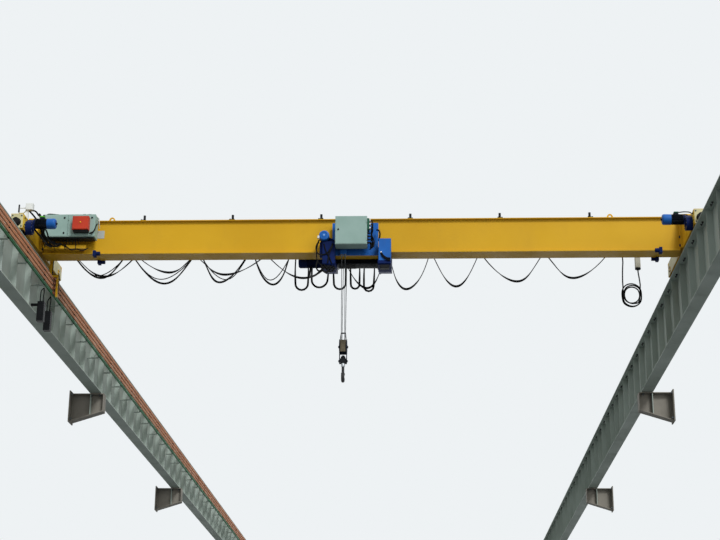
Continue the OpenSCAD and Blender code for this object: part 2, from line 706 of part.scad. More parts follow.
function arm_x(i) = arm_start + i * arm_pitch;
module festoon_arms() color("#17191b") at_bridge() for (i = [0:arm_count - 1]) translate([arm_x(i), 0, 0]) {
    y = (hoist_track_y + pendant_track_y) / 2;
    block([-arm_w, arm_w], [-girder_w / 2, girder_w / 2], [girder_h, girder_h + 10]);
    translate([0, -40, girder_h + 10 - eps]) cylinder(h = clamp_h - 10 + eps, d = 36);
    block([-arm_w / 2, arm_w / 2], [0, y + arm_w / 2], [girder_h + 10 - eps, girder_h + 10 + arm_w]);
    block([-arm_w / 2, arm_w / 2], [y - arm_w / 2, y + arm_w / 2],
          [track_z + track_h + arm_w - eps, girder_h + 11]);
    block([-arm_w / 2, arm_w / 2], [hoist_track_y - track_w / 2, pendant_track_y + track_w / 2],
          [track_z + track_h, track_z + track_h + arm_w]);
}
module festoon_tracks() color("#3a3d40") at_bridge()
    for (y = [hoist_track_y, pendant_track_y]) translate([0, y, 0]) rotate([0, 0, 90])
        along_y(-girder_end + 120, girder_end - 120) difference() {
            translate([-track_w / 2, track_z]) square([track_w, track_h]);
            translate([-track_w / 2 + 4, track_z + 4]) square([track_w - 8, track_h - 8]);
            translate([-6, track_z - eps]) square([12, 4 + 2 * eps]);
        }
// Block with a rounded saddle, hung close under its track
module carrier(x, y) translate([x, y, 0]) {
    block([-carrier_w / 2, carrier_w / 2], [-cable_w / 2 - 4, cable_w / 2 + 4],
          [carrier_z, track_z - seat]);
}
module carriers(xs, y) for (x = xs) carrier(x, y);
// Flat cable between two carriers: a half ellipse with its own thickness
module cable_loop(x0, x1, sag) {
    steps = 14;
    a = (x1 - x0) / 2;
    b = sag;
    function at(t, o) = let (n = [b * cos(t), a * sin(t)]) [-a * cos(t), -b * sin(t)] - o * n / norm(n);
    translate([(x0 + x1) / 2, carrier_z - seat])
        polygon(concat([for (i = [0:steps]) at(i * 180 / steps, cable_t / 2)],
                       [for (i = [steps:-1:0]) at(i * 180 / steps, -cable_t / 2)]));
}
module cable_line(xs, sags, y) for (i = [0:len(sags) - 1])
    translate([0, y, 0]) along_y(-cable_w / 2, cable_w / 2)
        cable_loop(xs[i] + cable_t, xs[i + 1] - cable_t, sags[i]);
module pendant_line_carriers() color("#17191b") at_bridge()
    carriers(concat(pendant_xs, [lead_down[0][0]]), pendant_track_y);
module pendant_line_cable() color("#121314") at_bridge()
    cable_line(pendant_xs, pendant_sags, pendant_track_y);
module hoist_line_carriers() color("#17191b") at_bridge() carriers(hoist_xs, hoist_track_y);
module hoist_line_cable() color("#121314") at_bridge() cable_line(hoist_xs, hoist_sags, hoist_track_y);

// Push-button station stowed head down under the track, with its gland below
module pendant_station() color("#cfc4ad") at_bridge() translate([pendant_x, pendant_track_y, 0]) {
    block([-40, 40], [-36, 36], [pendant_z, pendant_z + pendant_h]);
    block([-20, 20], [-12, 12], [pendant_z + pendant_h - eps, track_z - seat]);
    translate([0, 0, pendant_z - station_flange_h]) cylinder(h = station_flange_h + eps, d = 88);
    translate([0, 0, gland_z]) cylinder(h = pendant_z - station_flange_h - gland_z + eps, d = 34);
}
// Round tube through a list of points, its rings square to the path
module tube(path, d, sides) {
    n = len(path);
    function dir(i) = let (v = path[min(i + 1, n - 1)] - path[max(i - 1, 0)]) v / norm(v);
    function side(i) = let (v = cross(dir(i), [0, 1, 0])) v / norm(v);
    rings = [for (i = [0:n - 1], j = [0:sides - 1])
             let (a = 360 * j / sides) path[i] + d / 2 * (cos(a) * side(i) + sin(a) * [0, 1, 0])];
    faces = concat([[for (j = [0:sides - 1]) j]], [[for (j = [sides - 1:-1:0]) (n - 1) * sides + j]],
                   [for (i = [0:n - 2], j = [0:sides - 1])
                    let (k = (j + 1) % sides)
                    [i * sides + j, (i + 1) * sides + j, (i + 1) * sides + k, i * sides + k]]);
    polyhedron(rings, faces, 4);
}
module pendant_cable() color("#101112") at_bridge() {
    tube(lead_down, cord_d, 8);
    tube(lead_up, cord_d, 8);
}
module coil_outline(r) {
    translate([0, coil_low]) circle(r = r);
    translate([0, coil_high]) circle(r = r);
    translate([-r, coil_low]) square([2 * r, coil_high - coil_low]);
}
module pendant_coil() color("#101112") at_bridge() translate([coil_x, 0, 0])
    along_y(pendant_track_y - coil_band / 2, pendant_track_y + coil_band / 2) difference() {
        coil_outline(coil_r);
        coil_outline(coil_r - coil_band);
    }

// Side plate with cut corners
module side_plate(y, top) {
    cut = 10;
    along_y(y, y + plate_t)
        polygon([[plate_x, -plate_drop], [plate_end, -plate_drop], [plate_end, top - cut],
                 [plate_end - cut, top], [plate_x + cut, top], [plate_x, top - cut]]);
}
// Front plate with the anchor block that takes the dead ends of the ropes
module trolley_front_plate() color("#1f5fb0") at_bridge() {
    side_plate(-plate_face_y, plate_top);
    block([hook_x - 50, hook_x + 50], [-rope_front_y - 14, -plate_face_y + eps], [-plate_drop, -plate_drop + 70]);
}
module trolley_rear_plate() color("#1f5fb0") at_bridge() side_plate(plate_y, plate_top - 150);
// Welded frame that passes below the girder from the front to the drum side, shallower to the rear
module cross_frame(x0, x1, front_top, rear_top) along_x(x0, x1)
    polygon([[-frame_front, frame_bottom + 20], [-frame_front + 20, frame_bottom],
             [-taper_y, frame_bottom], [frame_back, frame_top - 10], [frame_back, rear_top],
             [rear_leg_y, rear_top], [rear_leg_y, frame_top], [-plate_face_y - 1, frame_top],
             [-plate_face_y - 1, front_top], [-frame_front, front_top]]);
module cross_frame_left() color("#1a2f63") at_bridge() {
    cross_frame(frame_x, frame_end, frame_top, drum_z + 130);
    block([frame_x, frame_end], [-frame_front, -plate_face_y - 35], [frame_top - eps, frame_leg_top]);
    block([frame_x, frame_end], [-plate_face_y - 36, -plate_face_y], [frame_top - eps, 40]);
}
module cross_frame_right() color("#1a2f63") at_bridge() {
    cross_frame(right_x, right_end, shelf_z, frame_top);
    block([right_x, right_end], [-plate_face_y - 60, -plate_face_y], [shelf_z - eps, 40]);
}
module trolley_wheels() color("#5b5d60") at_bridge()
    for (m = [0, 1], x = [wheel_x0, wheel_x1]) mirror([0, m, 0]) {
        z = bottom_flange_t + trolley_wheel_d / 2 + wheel_gap;
        rod_y(box_w / 2 + 6, girder_w / 2 + 6, x, z, trolley_wheel_d);
        rod_y(girder_w / 2 + 6 - eps, girder_w / 2 + 16, x, z, trolley_wheel_d + 24);
        rod_y(girder_w / 2 + 16 - eps, plate_y, x, z, 44);
    }
// Drive motor with its fan cover to the front, on a gear case that reaches the wheel
module trolley_drive() color("#1f4fae") at_bridge() {
    wheel = bottom_flange_t + trolley_wheel_d / 2 + wheel_gap;
    along_y(-plate_face_y - 34, -plate_face_y)
        link([drive_x, drive_z], 66, [wheel_x0, wheel], 50);
    translate([drive_x, -plate_face_y - 34 + eps, drive_z]) rotate([90, 0, 0]) rotate_extrude()
        polygon([[0, 0], [drive_d / 2 - 8, 0], [drive_d / 2 - 8, 120], [drive_d / 2, 126],
                 [drive_d / 2, 205], [drive_d / 2 - 10, 218], [0, 218]]);
}
module counterweight() color("#1f5fb0") at_bridge()
    block([right_x + 12, right_end], [-frame_front, -plate_face_y - 61], [shelf_z, 127]);
module hoist_cabinet() color("#9db5b0") at_bridge() {
    x = hook_x - 111;
    block([x, x + hoist_box_w], [-hoist_box_back - hoist_box_depth, -hoist_box_back], [8, 8 + hoist_box_h]);
    for (z = [70, 350])
        block([x + 160, x + hoist_box_w - 40], [-hoist_box_back - eps, -plate_face_y], [z, z + 40]);
}
// Rope drum with rope grooves between its two flanges
module hoist_drum() color("#4c4f52") at_bridge() {
    x0 = frame_end + 12;
    x1 = right_x - 12;
    r = drum_d / 2;
    start = (rope_xs[0] - x0 - groove_pitch / 2) % groove_pitch + 2 * groove_pitch;
    count = floor((x1 - x0 - 2 * start) / groove_pitch);
    translate([x0, drum_y, drum_z]) rotate([0, 90, 0]) rotate_extrude()
        polygon(concat([[0, 0], [drum_rim_d / 2, 0], [drum_rim_d / 2, 12], [r, 12], [r, start]],
                       [for (i = [0:count - 1], p = [[0.5, groove_depth], [1, 0]])
                        [r - p[1], start + (i + p[0]) * groove_pitch]],
                       [[r, x1 - x0 - 12], [drum_rim_d / 2, x1 - x0 - 12], [drum_rim_d / 2, x1 - x0],
                        [0, x1 - x0]]));
    rod_x(frame_end, x0 + eps, drum_y, drum_z, 90);
    rod_x(x1 - eps, right_x, drum_y, drum_z, 90);
}
module hoist_gearbox() color("#1d2c5e") at_bridge() {
    along_x(right_x, right_end - 20) link([drum_y, drum_z], 138, [drum_y - 20, drum_z + 130], 80);
    block([right_x, right_end - 20], [rear_leg_y, frame_back], [frame_top, drum_z]);
    rod_x(right_end - 21, right_end, drum_y, drum_z, 190);
}
module hoist_motor() color("#16305c") at_bridge() {
    translate([frame_x, drum_y, drum_z]) rotate([0, -90, 0]) rotate_extrude()
        polygon([[0, 0], [hoist_motor_d / 2 + 12, 0], [hoist_motor_d / 2 + 12, 16],
                 [hoist_motor_d / 2 - 8, 18], [hoist_motor_d / 2 - 8, hoist_motor_len * 0.66],
                 [hoist_motor_d / 2, hoist_motor_len * 0.68], [hoist_motor_d / 2, hoist_motor_len - 16],
                 [hoist_motor_d / 2 - 14, hoist_motor_len], [0, hoist_motor_len]]);
}
// Arm from the gear case out to the first carrier of the hoist's own cable line
module tow_arm() color("#1a2f63") at_bridge() {
    x = hoist_xs[len(hoist_xs) - 1] + carrier_w / 2 + seat;
    block([x, right_x + 80], [frame_back, frame_back + 20], [frame_top + 20, frame_top + 80]);
    block([x, x + 30], [frame_back + 19, hoist_track_y], [frame_top + 30, frame_top + 60]);
    block([x, x + 30], [hoist_track_y - 15, hoist_track_y + 15], [frame_top + 30, carrier_z + 30]);
}

// One rope from its upper end to the side of a sheave
module rope(x, y, z) {
    side = y > 0 ? 1 : -1;
    foot = [0, side * sheave_d / 2, sheave_z];
    v = [0, y, z] - foot;
    translate([x, foot[1], foot[2]]) rotate([-atan2(v[1], v[2]), 0, 0]) cylinder(h = norm(v), d = rope_d);
}
module drum_ropes() color("#3c4144") at_bridge() for (x = rope_xs) rope(x, rope_rear_y, drum_z);
module anchor_ropes() color("#3c4144") at_bridge()
    for (x = rope_xs) rope(x, -rope_front_y, -plate_drop - 2 * seat);
module cheek_outline() {
    link([0, sheave_z], 62, [0, crosshead_z], 44);
    translate([0, sheave_z]) circle(r = cheek_r);
}
// Strap over the sheaves that keeps the ropes in, drawn in toward its top
module rope_strap() {
    foot = cheek_in + eps;
    leg = foot - 4;
    low = sheave_d / 2 - 15;
    arch = cheek_r + 90;
    along_y(-15, 15) translate([0, sheave_z])
        polygon([[-foot, low], [-leg, low], [-leg, cheek_r], [-26, arch], [26, arch], [leg, cheek_r],
                 [leg, low], [foot, low], [foot, cheek_r + 8], [36, arch + 12], [-36, arch + 12],
                 [-foot, cheek_r + 8]]);
}
// Curved cover round the lower half of the sheaves
module sheave_cover() along_x(-cheek_in - eps, cheek_in + eps) translate([0, sheave_z]) difference() {
    circle(r = cheek_r);
    circle(r = cheek_r - 4);
    translate([-2 * cheek_r, -8]) square([4 * cheek_r, 2 * cheek_r]);
}
module block_cheeks() color("#a2903a") at_bridge() translate([hook_x, 0, 0]) {
    for (x = [-block_half, cheek_in]) difference() {
        along_x(x, x + cheek_t) cheek_outline();
        rod_x(x - eps, x + cheek_t + eps, 0, crosshead_z, 36.6);
        rod_x(x - eps, x + cheek_t + eps, 0, sheave_z, 40.6);
    }
    rope_strap();
    sheave_cover();
}
module sheave(x) translate([x, 0, sheave_z]) rotate([0, 90, 0]) rotate_extrude()
    polygon([[20.3, -sheave_w / 2], [sheave_d / 2 + 8, -sheave_w / 2], [groove_r, -rope_d / 2],
             [groove_r, rope_d / 2], [sheave_d / 2 + 8, sheave_w / 2], [20.3, sheave_w / 2]]);
module block_sheaves() color("#54504a") at_bridge() {
    for (x = rope_xs) sheave(x);
    rod_x(hook_x - block_half - 6, hook_x + block_half + 6, 0, sheave_z, 40);
}
module block_crosshead() color("#2c2e30") at_bridge() translate([hook_x, 0, crosshead_z]) difference() {
    union() {
        block([-cheek_in + 2, cheek_in - 2], [-38, 38], [-34, 34]);
        rod_x(-block_half - 4, block_half + 4, 0, 0, 36);
    }
    translate([0, 0, -40]) cylinder(h = 80, d = shank_d + 0.1);
}
// Shank with its nut, then a bowl swept about its own centre, ending in a rounded tip
module hook() color("#1a1b1c") at_bridge() translate([hook_x, 0, 0]) {
    translate([0, 0, bowl_z + hook_r]) cylinder(h = hook_drop - hook_r + 50, d = shank_d);
    translate([0, 0, crosshead_z + 34 + seat]) cylinder(h = 26, d = 66);
    translate([0, 0, crosshead_z - 34 - seat - 30]) cylinder(h = 30, d = 60);
    translate([0, 0, bowl_z]) rotate([0, 0, 90]) rotate([90, 0, 0]) {
        rotate([0, 0, 90]) rotate_extrude(angle = 255) translate([hook_r, 0]) circle(d = hook_bar_d);
        rotate([0, 0, 345]) translate([hook_r, 0, 0]) sphere(d = hook_bar_d + 2);
        translate([-20, hook_r, 0]) rotate([0, 90, 0]) cylinder(h = 40, d = hook_bar_d + 6);
    }
}
// Spring latch across the mouth of the hook
module hook_latch() color("#8d9296") at_bridge() translate([hook_x, 0, 0])
    along_x(-8, 8)
        polygon([[shank_d / 2 + seat, bowl_z + hook_r + 36], [shank_d / 2 + 10, bowl_z + hook_r + 42],
                 [hook_r + 8, bowl_z + hook_bar_d / 2 - 5], [hook_r - 2, bowl_z + hook_bar_d / 2 - 9]]);

runway_beams_left();
runway_beams_right();
crane_rails();
corbels();
end_stops();
conductor_bars();
earth_bar();
bar_brackets();
feed_boxes();
girder_top_flange();
girder_bottom_flange();
girder_webs();
girder_end_plates();
lifting_lugs();
trolley_stops();
end_truck_left();
end_truck_right();
bridge_wheels();
bridge_buffers();
travel_gear_units();
travel_motors();
control_cabinets();
cabinet_brackets();
alarm_box();
limit_switch();
collector_arm();
collector_shoes();
festoon_arms();
festoon_tracks();
pendant_line_carriers();
pendant_line_cable();
pendant_station();
pendant_cable();
pendant_coil();
trolley_front_plate();
trolley_rear_plate();
cross_frame_left();
cross_frame_right();
trolley_wheels();
trolley_drive();
counterweight();
hoist_cabinet();
hoist_drum();
hoist_gearbox();
hoist_motor();
tow_arm();
hoist_line_carriers();
hoist_line_cable();
drum_ropes();
anchor_ropes();
block_cheeks();
block_sheaves();
block_crosshead();
hook();
hook_latch();
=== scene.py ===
"""Looks of an overhead bridge crane: finishes, fasteners, cables and electrical details around the CAD part.

Everything is in metres in the part's own frame: X across the hall, Y along the runway, Z up.
The bridge is drawn from its own datum: span centre, girder centreline, top of rail.
"""

import json
import logging
import math
from dataclasses import dataclass, field
from enum import Enum

import bpy
import numpy as np
from mathutils import Matrix

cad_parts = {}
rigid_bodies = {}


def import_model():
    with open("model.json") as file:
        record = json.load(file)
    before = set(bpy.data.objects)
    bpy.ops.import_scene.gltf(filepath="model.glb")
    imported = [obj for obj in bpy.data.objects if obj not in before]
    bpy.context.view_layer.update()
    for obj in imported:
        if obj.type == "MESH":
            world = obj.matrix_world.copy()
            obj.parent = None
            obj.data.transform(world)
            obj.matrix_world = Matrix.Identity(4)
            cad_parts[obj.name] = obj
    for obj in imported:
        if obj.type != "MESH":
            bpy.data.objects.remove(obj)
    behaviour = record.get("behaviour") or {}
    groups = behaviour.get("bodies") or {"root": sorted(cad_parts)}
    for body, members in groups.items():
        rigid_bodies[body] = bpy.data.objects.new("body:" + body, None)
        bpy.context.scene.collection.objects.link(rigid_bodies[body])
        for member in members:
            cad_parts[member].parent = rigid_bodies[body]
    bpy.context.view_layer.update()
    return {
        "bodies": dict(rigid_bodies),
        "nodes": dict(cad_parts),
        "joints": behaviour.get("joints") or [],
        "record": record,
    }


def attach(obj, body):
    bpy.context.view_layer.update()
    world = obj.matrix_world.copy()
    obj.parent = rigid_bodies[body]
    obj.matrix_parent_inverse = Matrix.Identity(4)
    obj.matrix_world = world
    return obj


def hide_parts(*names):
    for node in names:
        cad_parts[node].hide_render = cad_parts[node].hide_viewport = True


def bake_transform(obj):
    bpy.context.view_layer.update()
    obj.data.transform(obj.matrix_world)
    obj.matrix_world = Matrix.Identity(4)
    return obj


logging.basicConfig(level=logging.INFO, format="%(levelname)s %(message)s")
LOG = logging.getLogger("crane")

Point = tuple[float, float, float]
Span = tuple[float, float]

SPAN = 9.7
RAIL_X = 0.45
RAIL_TOP = 1.18
BRIDGE_Y = 4.32
DATUM = np.array([RAIL_X + SPAN / 2, BRIDGE_Y, RAIL_TOP])
BAY = 9.0
BAYS = 4


class Body(Enum):
    """The part's rigid bodies."""

    RUNWAY = "runway"
    BRIDGE = "bridge"
    TROLLEY = "trolley"
    BLOCK = "hook_block"
    HOOK = "hook"


class Facing(Enum):
    """Where a shape drawn upright points: each row is the image of one of its own axes."""

    UP = ((1, 0, 0), (0, 1, 0), (0, 0, 1))
    DOWN = ((1, 0, 0), (0, -1, 0), (0, 0, -1))
    RIGHT = ((0, 1, 0), (0, 0, 1), (1, 0, 0))
    LEFT = ((0, -1, 0), (0, 0, 1), (-1, 0, 0))
    BACK = ((0, 0, 1), (1, 0, 0), (0, 1, 0))
    FRONT = ((1, 0, 0), (0, 0, 1), (0, -1, 0))


@dataclass
class Shape:
    """Vertices and the faces on them, kept as whole arrays."""

    verts: np.ndarray
    faces: list[np.ndarray] = field(default_factory=list)

    def moved(self, offset: Point | np.ndarray) -> "Shape":
        """The shape shifted by an offset."""
        return Shape(self.verts + np.asarray(offset, float), self.faces)

    def turned(self, facing: Facing) -> "Shape":
        """The shape turned so that its own Z points where facing says."""
        return Shape(self.verts @ np.array(facing.value, float), self.faces)

    def at_each(self, offsets: np.ndarray) -> "Shape":
        """The shape repeated at many places.

        Args:
            offsets: one row of X, Y, Z for each copy.

        Returns:
            One shape that holds all the copies.
        """
        offsets = np.asarray(offsets, float).reshape(-1, 3)
        count = len(self.verts)
        verts = (self.verts[None, :, :] + offsets[:, None, :]).reshape(-1, 3)
        step = np.arange(len(offsets)) * count
        faces = [(f[None] + step[:, None, None]).reshape(-1, f.shape[1]) for f in self.faces]
        return Shape(verts, faces)


def joined(*shapes: Shape) -> Shape:
    """All the shapes as one.

    Args:
        shapes: the shapes to join.

    Returns:
        One shape with all their vertices and faces.
    """
    starts = np.cumsum([0] + [len(s.verts) for s in shapes[:-1]])
    faces = [f + start for s, start in zip(shapes, starts) for f in s.faces]
    return Shape(np.concatenate([s.verts for s in shapes]), faces)


def grid(*axes: tuple[float, ...] | list[float] | np.ndarray) -> np.ndarray:
    """Every mix of the X, Y and Z values given, one row each."""
    return np.stack(np.meshgrid(*axes, indexing="ij"), -1).reshape(-1, 3)


def ringed(shape: Shape, count: int) -> Shape:
    """Copies of a shape spaced evenly in a ring: each vertex is turned about Z by its copy's angle.

    Args:
        shape: the shape to copy.
        count: how many copies go round.

    Returns:
        One shape that holds all the copies.
    """
    turn = np.arange(count) * 2 * np.pi / count
    cos, sin = np.cos(turn), np.sin(turn)
    spin = np.stack([np.stack([cos, -sin], -1), np.stack([sin, cos], -1)], -2)
    flat = np.einsum("nij,vj->nvi", spin, shape.verts[:, :2])
    tall = np.broadcast_to(shape.verts[None, :, 2:], (count, len(shape.verts), 1))
    step = np.arange(count) * len(shape.verts)
    faces = [(f[None] + step[:, None, None]).reshape(-1, f.shape[1]) for f in shape.faces]
    return Shape(np.concatenate([flat, tall], -1).reshape(-1, 3), faces)


def loft(rings: np.ndarray, capped: bool = True) -> Shape:
    """Joins rings of points into a skin: quads between neighbours, and a flat cap on each end.

    Args:
        rings: array of rings, points and X, Y, Z; each ring runs anticlockwise seen from the last one.
        capped: whether both ends are closed.

    Returns:
        The closed skin.
    """
    n, s = rings.shape[:2]
    i, j = np.meshgrid(np.arange(n - 1), np.arange(s), indexing="ij")
    k = (j + 1) % s
    quads = np.stack([i * s + j, i * s + k, (i + 1) * s + k, (i + 1) * s + j], -1).reshape(-1, 4)
    faces = [quads]
    if capped:
        faces += [np.arange(s)[None, ::-1], (n - 1) * s + np.arange(s)[None]]
    return Shape(rings.reshape(-1, 3), faces)


def slab(x: Span, y: Span, z: Span) -> Shape:
    """A box between two X, two Y and two Z values."""
    ring = np.array([[x[0], y[0]], [x[1], y[0]], [x[1], y[1]], [x[0], y[1]]])
    return loft(np.stack([np.column_stack([ring, np.full(4, h)]) for h in z]))


def turned_part(profile: list[Span], sides: int = 32) -> Shape:
    """A solid of revolution about Z: each (height, radius) pair becomes a ring of that radius.

    Args:
        profile: the (height, radius) pairs, from the bottom up.
        sides: how many flats stand for the circle.

    Returns:
        The closed solid.
    """
    height, radius = np.array(profile, float).T
    angle = np.arange(sides) * 2 * np.pi / sides
    ring = np.stack([np.cos(angle), np.sin(angle)], -1)
    flat = radius[:, None, None] * ring[None]
    tall = np.broadcast_to(height[:, None, None], (len(height), sides, 1))
    return loft(np.concatenate([flat, tall], -1))


def plate(outline: list[Span], thick: Span) -> Shape:
    """A flat outline, anticlockwise in X and Y, given thickness between two heights."""
    flat = np.array(outline, float)
    return loft(np.stack([np.column_stack([flat, np.full(len(flat), h)]) for h in thick]))


def rounded(width: float, height: float, radius: float, steps: int = 5) -> list[Span]:
    """A rectangle about the origin whose corners are quarter circles.

    Args:
        width: its size along the first axis.
        height: its size along the second axis.
        radius: the corners' radius.
        steps: how many points each corner gets.

    Returns:
        The outline's points.
    """
    quarter = np.linspace(0, np.pi / 2, steps)
    corners = [(1, 1, 0), (-1, 1, 1), (-1, -1, 2), (1, -1, 3)]
    points = [
        (sx * (width / 2 - radius) + radius * np.cos(a + q * np.pi / 2),
         sy * (height / 2 - radius) + radius * np.sin(a + q * np.pi / 2))
        for sx, sy, q in corners for a in quarter
    ]
    return [(float(a), float(b)) for a, b in points]


def swept(path: np.ndarray, across: np.ndarray, half: Span, sides: int = 10, square: float = 1.0) -> Shape:
    """A cable along a path: a superellipse carried square to it.

    Each ring is centre + across * a * c + up * b * s, where c and s are the cosine and sine of
    the ring angle, drawn towards a rectangle by the power square.

    Args:
        path: points along the middle.
        across: for each point, roughly which way the cable's width lies.
        half: half the width and half the thickness.
        sides: points in a ring.
        square: 1 gives an ellipse, less gives flatter sides.

    Returns:
        The closed cable.
    """
    run = np.gradient(path, axis=0)
    run /= np.linalg.norm(run, axis=1, keepdims=True)
    wide = across - (across * run).sum(1, keepdims=True) * run
    wide /= np.linalg.norm(wide, axis=1, keepdims=True)
    up = np.cross(run, wide)
    a = np.arange(sides) * 2 * np.pi / sides
    c, s = np.cos(a), np.sin(a)
    c, s = np.sign(c) * np.abs(c) ** square, np.sign(s) * np.abs(s) ** square
    rings = (path[:, None] + half[0] * c[None, :, None] * wide[:, None]
             + half[1] * s[None, :, None] * up[:, None])
    return loft(rings)


def smooth_path(points: list[Point] | np.ndarray, per: int = 8) -> np.ndarray:
    """A Catmull-Rom curve through the points: a cubic whose slope at each is half its neighbours' gap.

    Args:
        points: the points that it passes through.
        per: how many steps each stretch gets.

    Returns:
        Points along the curve.
    """
    p = np.asarray(points, float)
    p = np.concatenate([[2 * p[0] - p[1]], p, [2 * p[-1] - p[-2]]])
    t = np.linspace(0, 1, per, endpoint=False)[None, :, None]
    a, b, c, d = (p[i:len(p) - 3 + i, None] for i in range(4))
    curve = 0.5 * (2 * b + (c - a) * t + (2 * a - 5 * b + 4 * c - d) * t**2
                   + (3 * b - a - 3 * c + d) * t**3)
    return np.concatenate([curve.reshape(-1, 3), p[-2][None]])


def cable(points: list[Point], radius: float, sides: int = 8, per: int = 6) -> Shape:
    """A round cable that passes smoothly through the points.

    Args:
        points: what the cable passes through, in order.
        radius: half its thickness.
        sides: how many flats stand for its circle.
        per: how many steps lie between two points.

    Returns:
        The cable with closed ends.
    """
    path = smooth_path(points, per)
    lean = np.tile([0.31, 0.86, 0.41], (len(path), 1))
    return swept(path, lean, (radius, radius), sides)


def hex_bolt(across: float, tall: float, washer: float = 1.0) -> Shape:
    """A bolt head: a round washer and a hexagon whose flats are the size given apart.

    Args:
        across: the size over the flats.
        tall: the height of the head.
        washer: the washer's size as a share of its usual one.

    Returns:
        The head, pointing up.
    """
    radius = across / math.sqrt(3)
    disc = turned_part([(0, radius * 1.12 * washer), (0.003, radius * 1.12 * washer)], 12)
    angle = np.arange(6) * np.pi / 3
    ring = np.column_stack([np.cos(angle), np.sin(angle)])
    levels = [(0.003, radius), (tall * 0.85, radius), (tall, radius * 0.86)]
    head = loft(np.stack([np.column_stack([ring * r, np.full(6, h)]) for h, r in levels]))
    return joined(disc, head)


def nut_on_stud(across: float, tall: float, stud: float) -> Shape:
    """A nut on its washer with the end of the stud standing out of it."""
    end = turned_part([(tall, across * 0.27), (tall + stud, across * 0.27),
                       (tall + stud + 0.002, across * 0.22)], 8)
    return joined(hex_bolt(across, tall), end)


def srgb(text: str) -> tuple[float, float, float, float]:
    """Turns a hex colour such as #d49f1e into linear red, green, blue and alpha.

    Args:
        text: the sRGB colour.

    Returns:
        The four linear values.
    """
    raw = np.array([int(text[i:i + 2], 16) / 255 for i in (1, 3, 5)])
    linear = np.where(raw <= 0.04045, raw / 12.92, ((raw + 0.055) / 1.055) ** 2.4)
    return (*map(float, linear), 1.0)


def add_node(tree: bpy.types.NodeTree, kind: str, inputs: dict, **settings: object) -> bpy.types.Node:
    """Adds one shader node with its settings and inputs.

    Args:
        tree: the material's or world's node tree.
        kind: Blender's type name of the node.
        inputs: socket name or number, and the value or the output socket that feeds it.
        settings: attributes of the node.

    Returns:
        The new node.
    """
    node = tree.nodes.new(kind)
    for name, value in settings.items():
        setattr(node, name, value)
    for name, value in inputs.items():
        if isinstance(value, bpy.types.NodeSocket):
            tree.links.new(value, node.inputs[name])
        else:
            node.inputs[name].default_value = value
    return node


def mixed(tree: bpy.types.NodeTree, factor: object, a: object, b: object) -> bpy.types.NodeSocket:
    """The colour a turned into b by a factor from 0 to 1."""
    node = add_node(tree, "ShaderNodeMix", {0: factor, 6: a, 7: b}, data_type="RGBA")
    return node.outputs[2]


def ranged(tree: bpy.types.NodeTree, value: object, source: Span, target: Span) -> bpy.types.NodeSocket:
    """A value carried from one range to another and held inside it.

    Args:
        tree: the node tree.
        value: the socket that gives the value.
        source: its own range.
        target: the range that it is carried to.

    Returns:
        The socket with the new value.
    """
    node = add_node(tree, "ShaderNodeMapRange",
                    {0: value, 1: source[0], 2: source[1], 3: target[0], 4: target[1]})
    return node.outputs[0]


def noise(tree: bpy.types.NodeTree, coords: object, size: float, detail: float = 3.0,
          stretch: Point = (1.0, 1.0, 1.0)) -> bpy.types.NodeSocket:
    """Cloudy noise whose blotches are about the given size in metres.

    Args:
        tree: the node tree.
        coords: the object coordinates.
        size: the width of a blotch in metres.
        detail: how many finer layers lie on it.
        stretch: how much longer the blotches are along each axis.

    Returns:
        The noise's value, from 0 to 1.
    """
    scale = tuple(1 / s for s in stretch)
    mapped = add_node(tree, "ShaderNodeMapping", {"Vector": coords, "Scale": scale})
    node = add_node(tree, "ShaderNodeTexNoise",
                    {"Vector": mapped.outputs[0], "Scale": 1 / size, "Detail": detail})
    return node.outputs[0]


@dataclass(frozen=True)
class Enamel:
    """Sprayed enamel or powder coat on steel: even colour, faint clouds, dust on top faces.

    name: what the coat is; colour and shade: its two sRGB tones; cloud: width of its tone
    blotches in metres; rough: its gloss; peel: width of its orange peel; dust: how grey its
    upper faces have become; soil: how dark its dirt blotches are; coat: its lacquer;
    shine: how much it mirrors, low so that undersides don't pick up the pale floor.
    """

    name: str
    colour: str
    shade: str
    cloud: float = 0.6
    rough: float = 0.42
    peel: float = 0.006
    dust: float = 0.35
    soil: float = 0.15
    coat: float = 0.0
    shine: float = 0.16

    def build(self) -> bpy.types.Material:
        """Makes the material: two tones mixed by clouds, soil in patches, dust on what faces up.

        Returns:
            The material.
        """
        material = bpy.data.materials.new(self.name)
        material.use_nodes = True
        tree = material.node_tree
        shader = tree.nodes["Principled BSDF"]
        coords = add_node(tree, "ShaderNodeTexCoord", {}).outputs["Object"]
        clouds = noise(tree, coords, self.cloud, 4.0)
        tone = mixed(tree, ranged(tree, clouds, (0.35, 0.65), (0.0, 1.0)), srgb(self.colour),
                     srgb(self.shade))
        patches = noise(tree, coords, self.cloud * 0.22, 6.0, (1.0, 1.0, 2.5))
        dirty = mixed(tree, ranged(tree, patches, (0.56, 0.78), (0.0, self.soil)), tone, srgb("#4a4234"))
        normal = add_node(tree, "ShaderNodeNewGeometry", {}).outputs["Normal"]
        up = add_node(tree, "ShaderNodeSeparateXYZ", {0: normal}).outputs[2]
        dusty = mixed(tree, ranged(tree, up, (0.4, 0.95), (0.0, self.dust)), dirty, srgb("#9b968a"))
        tree.links.new(dusty, shader.inputs["Base Color"])
        tree.links.new(ranged(tree, patches, (0.3, 0.8), (self.rough - 0.05, self.rough + 0.14)),
                       shader.inputs["Roughness"])
        peel = add_node(tree, "ShaderNodeBump",
                        {"Height": noise(tree, coords, self.peel, 2.0), "Strength": 0.12, "Distance": 0.0006})
        tree.links.new(peel.outputs[0], shader.inputs["Normal"])
        shader.inputs["IOR"].default_value = 1.5
        shader.inputs["Specular IOR Level"].default_value = self.shine
        shader.inputs["Coat Weight"].default_value = self.coat
        shader.inputs["Coat Roughness"].default_value = 0.25
        return material


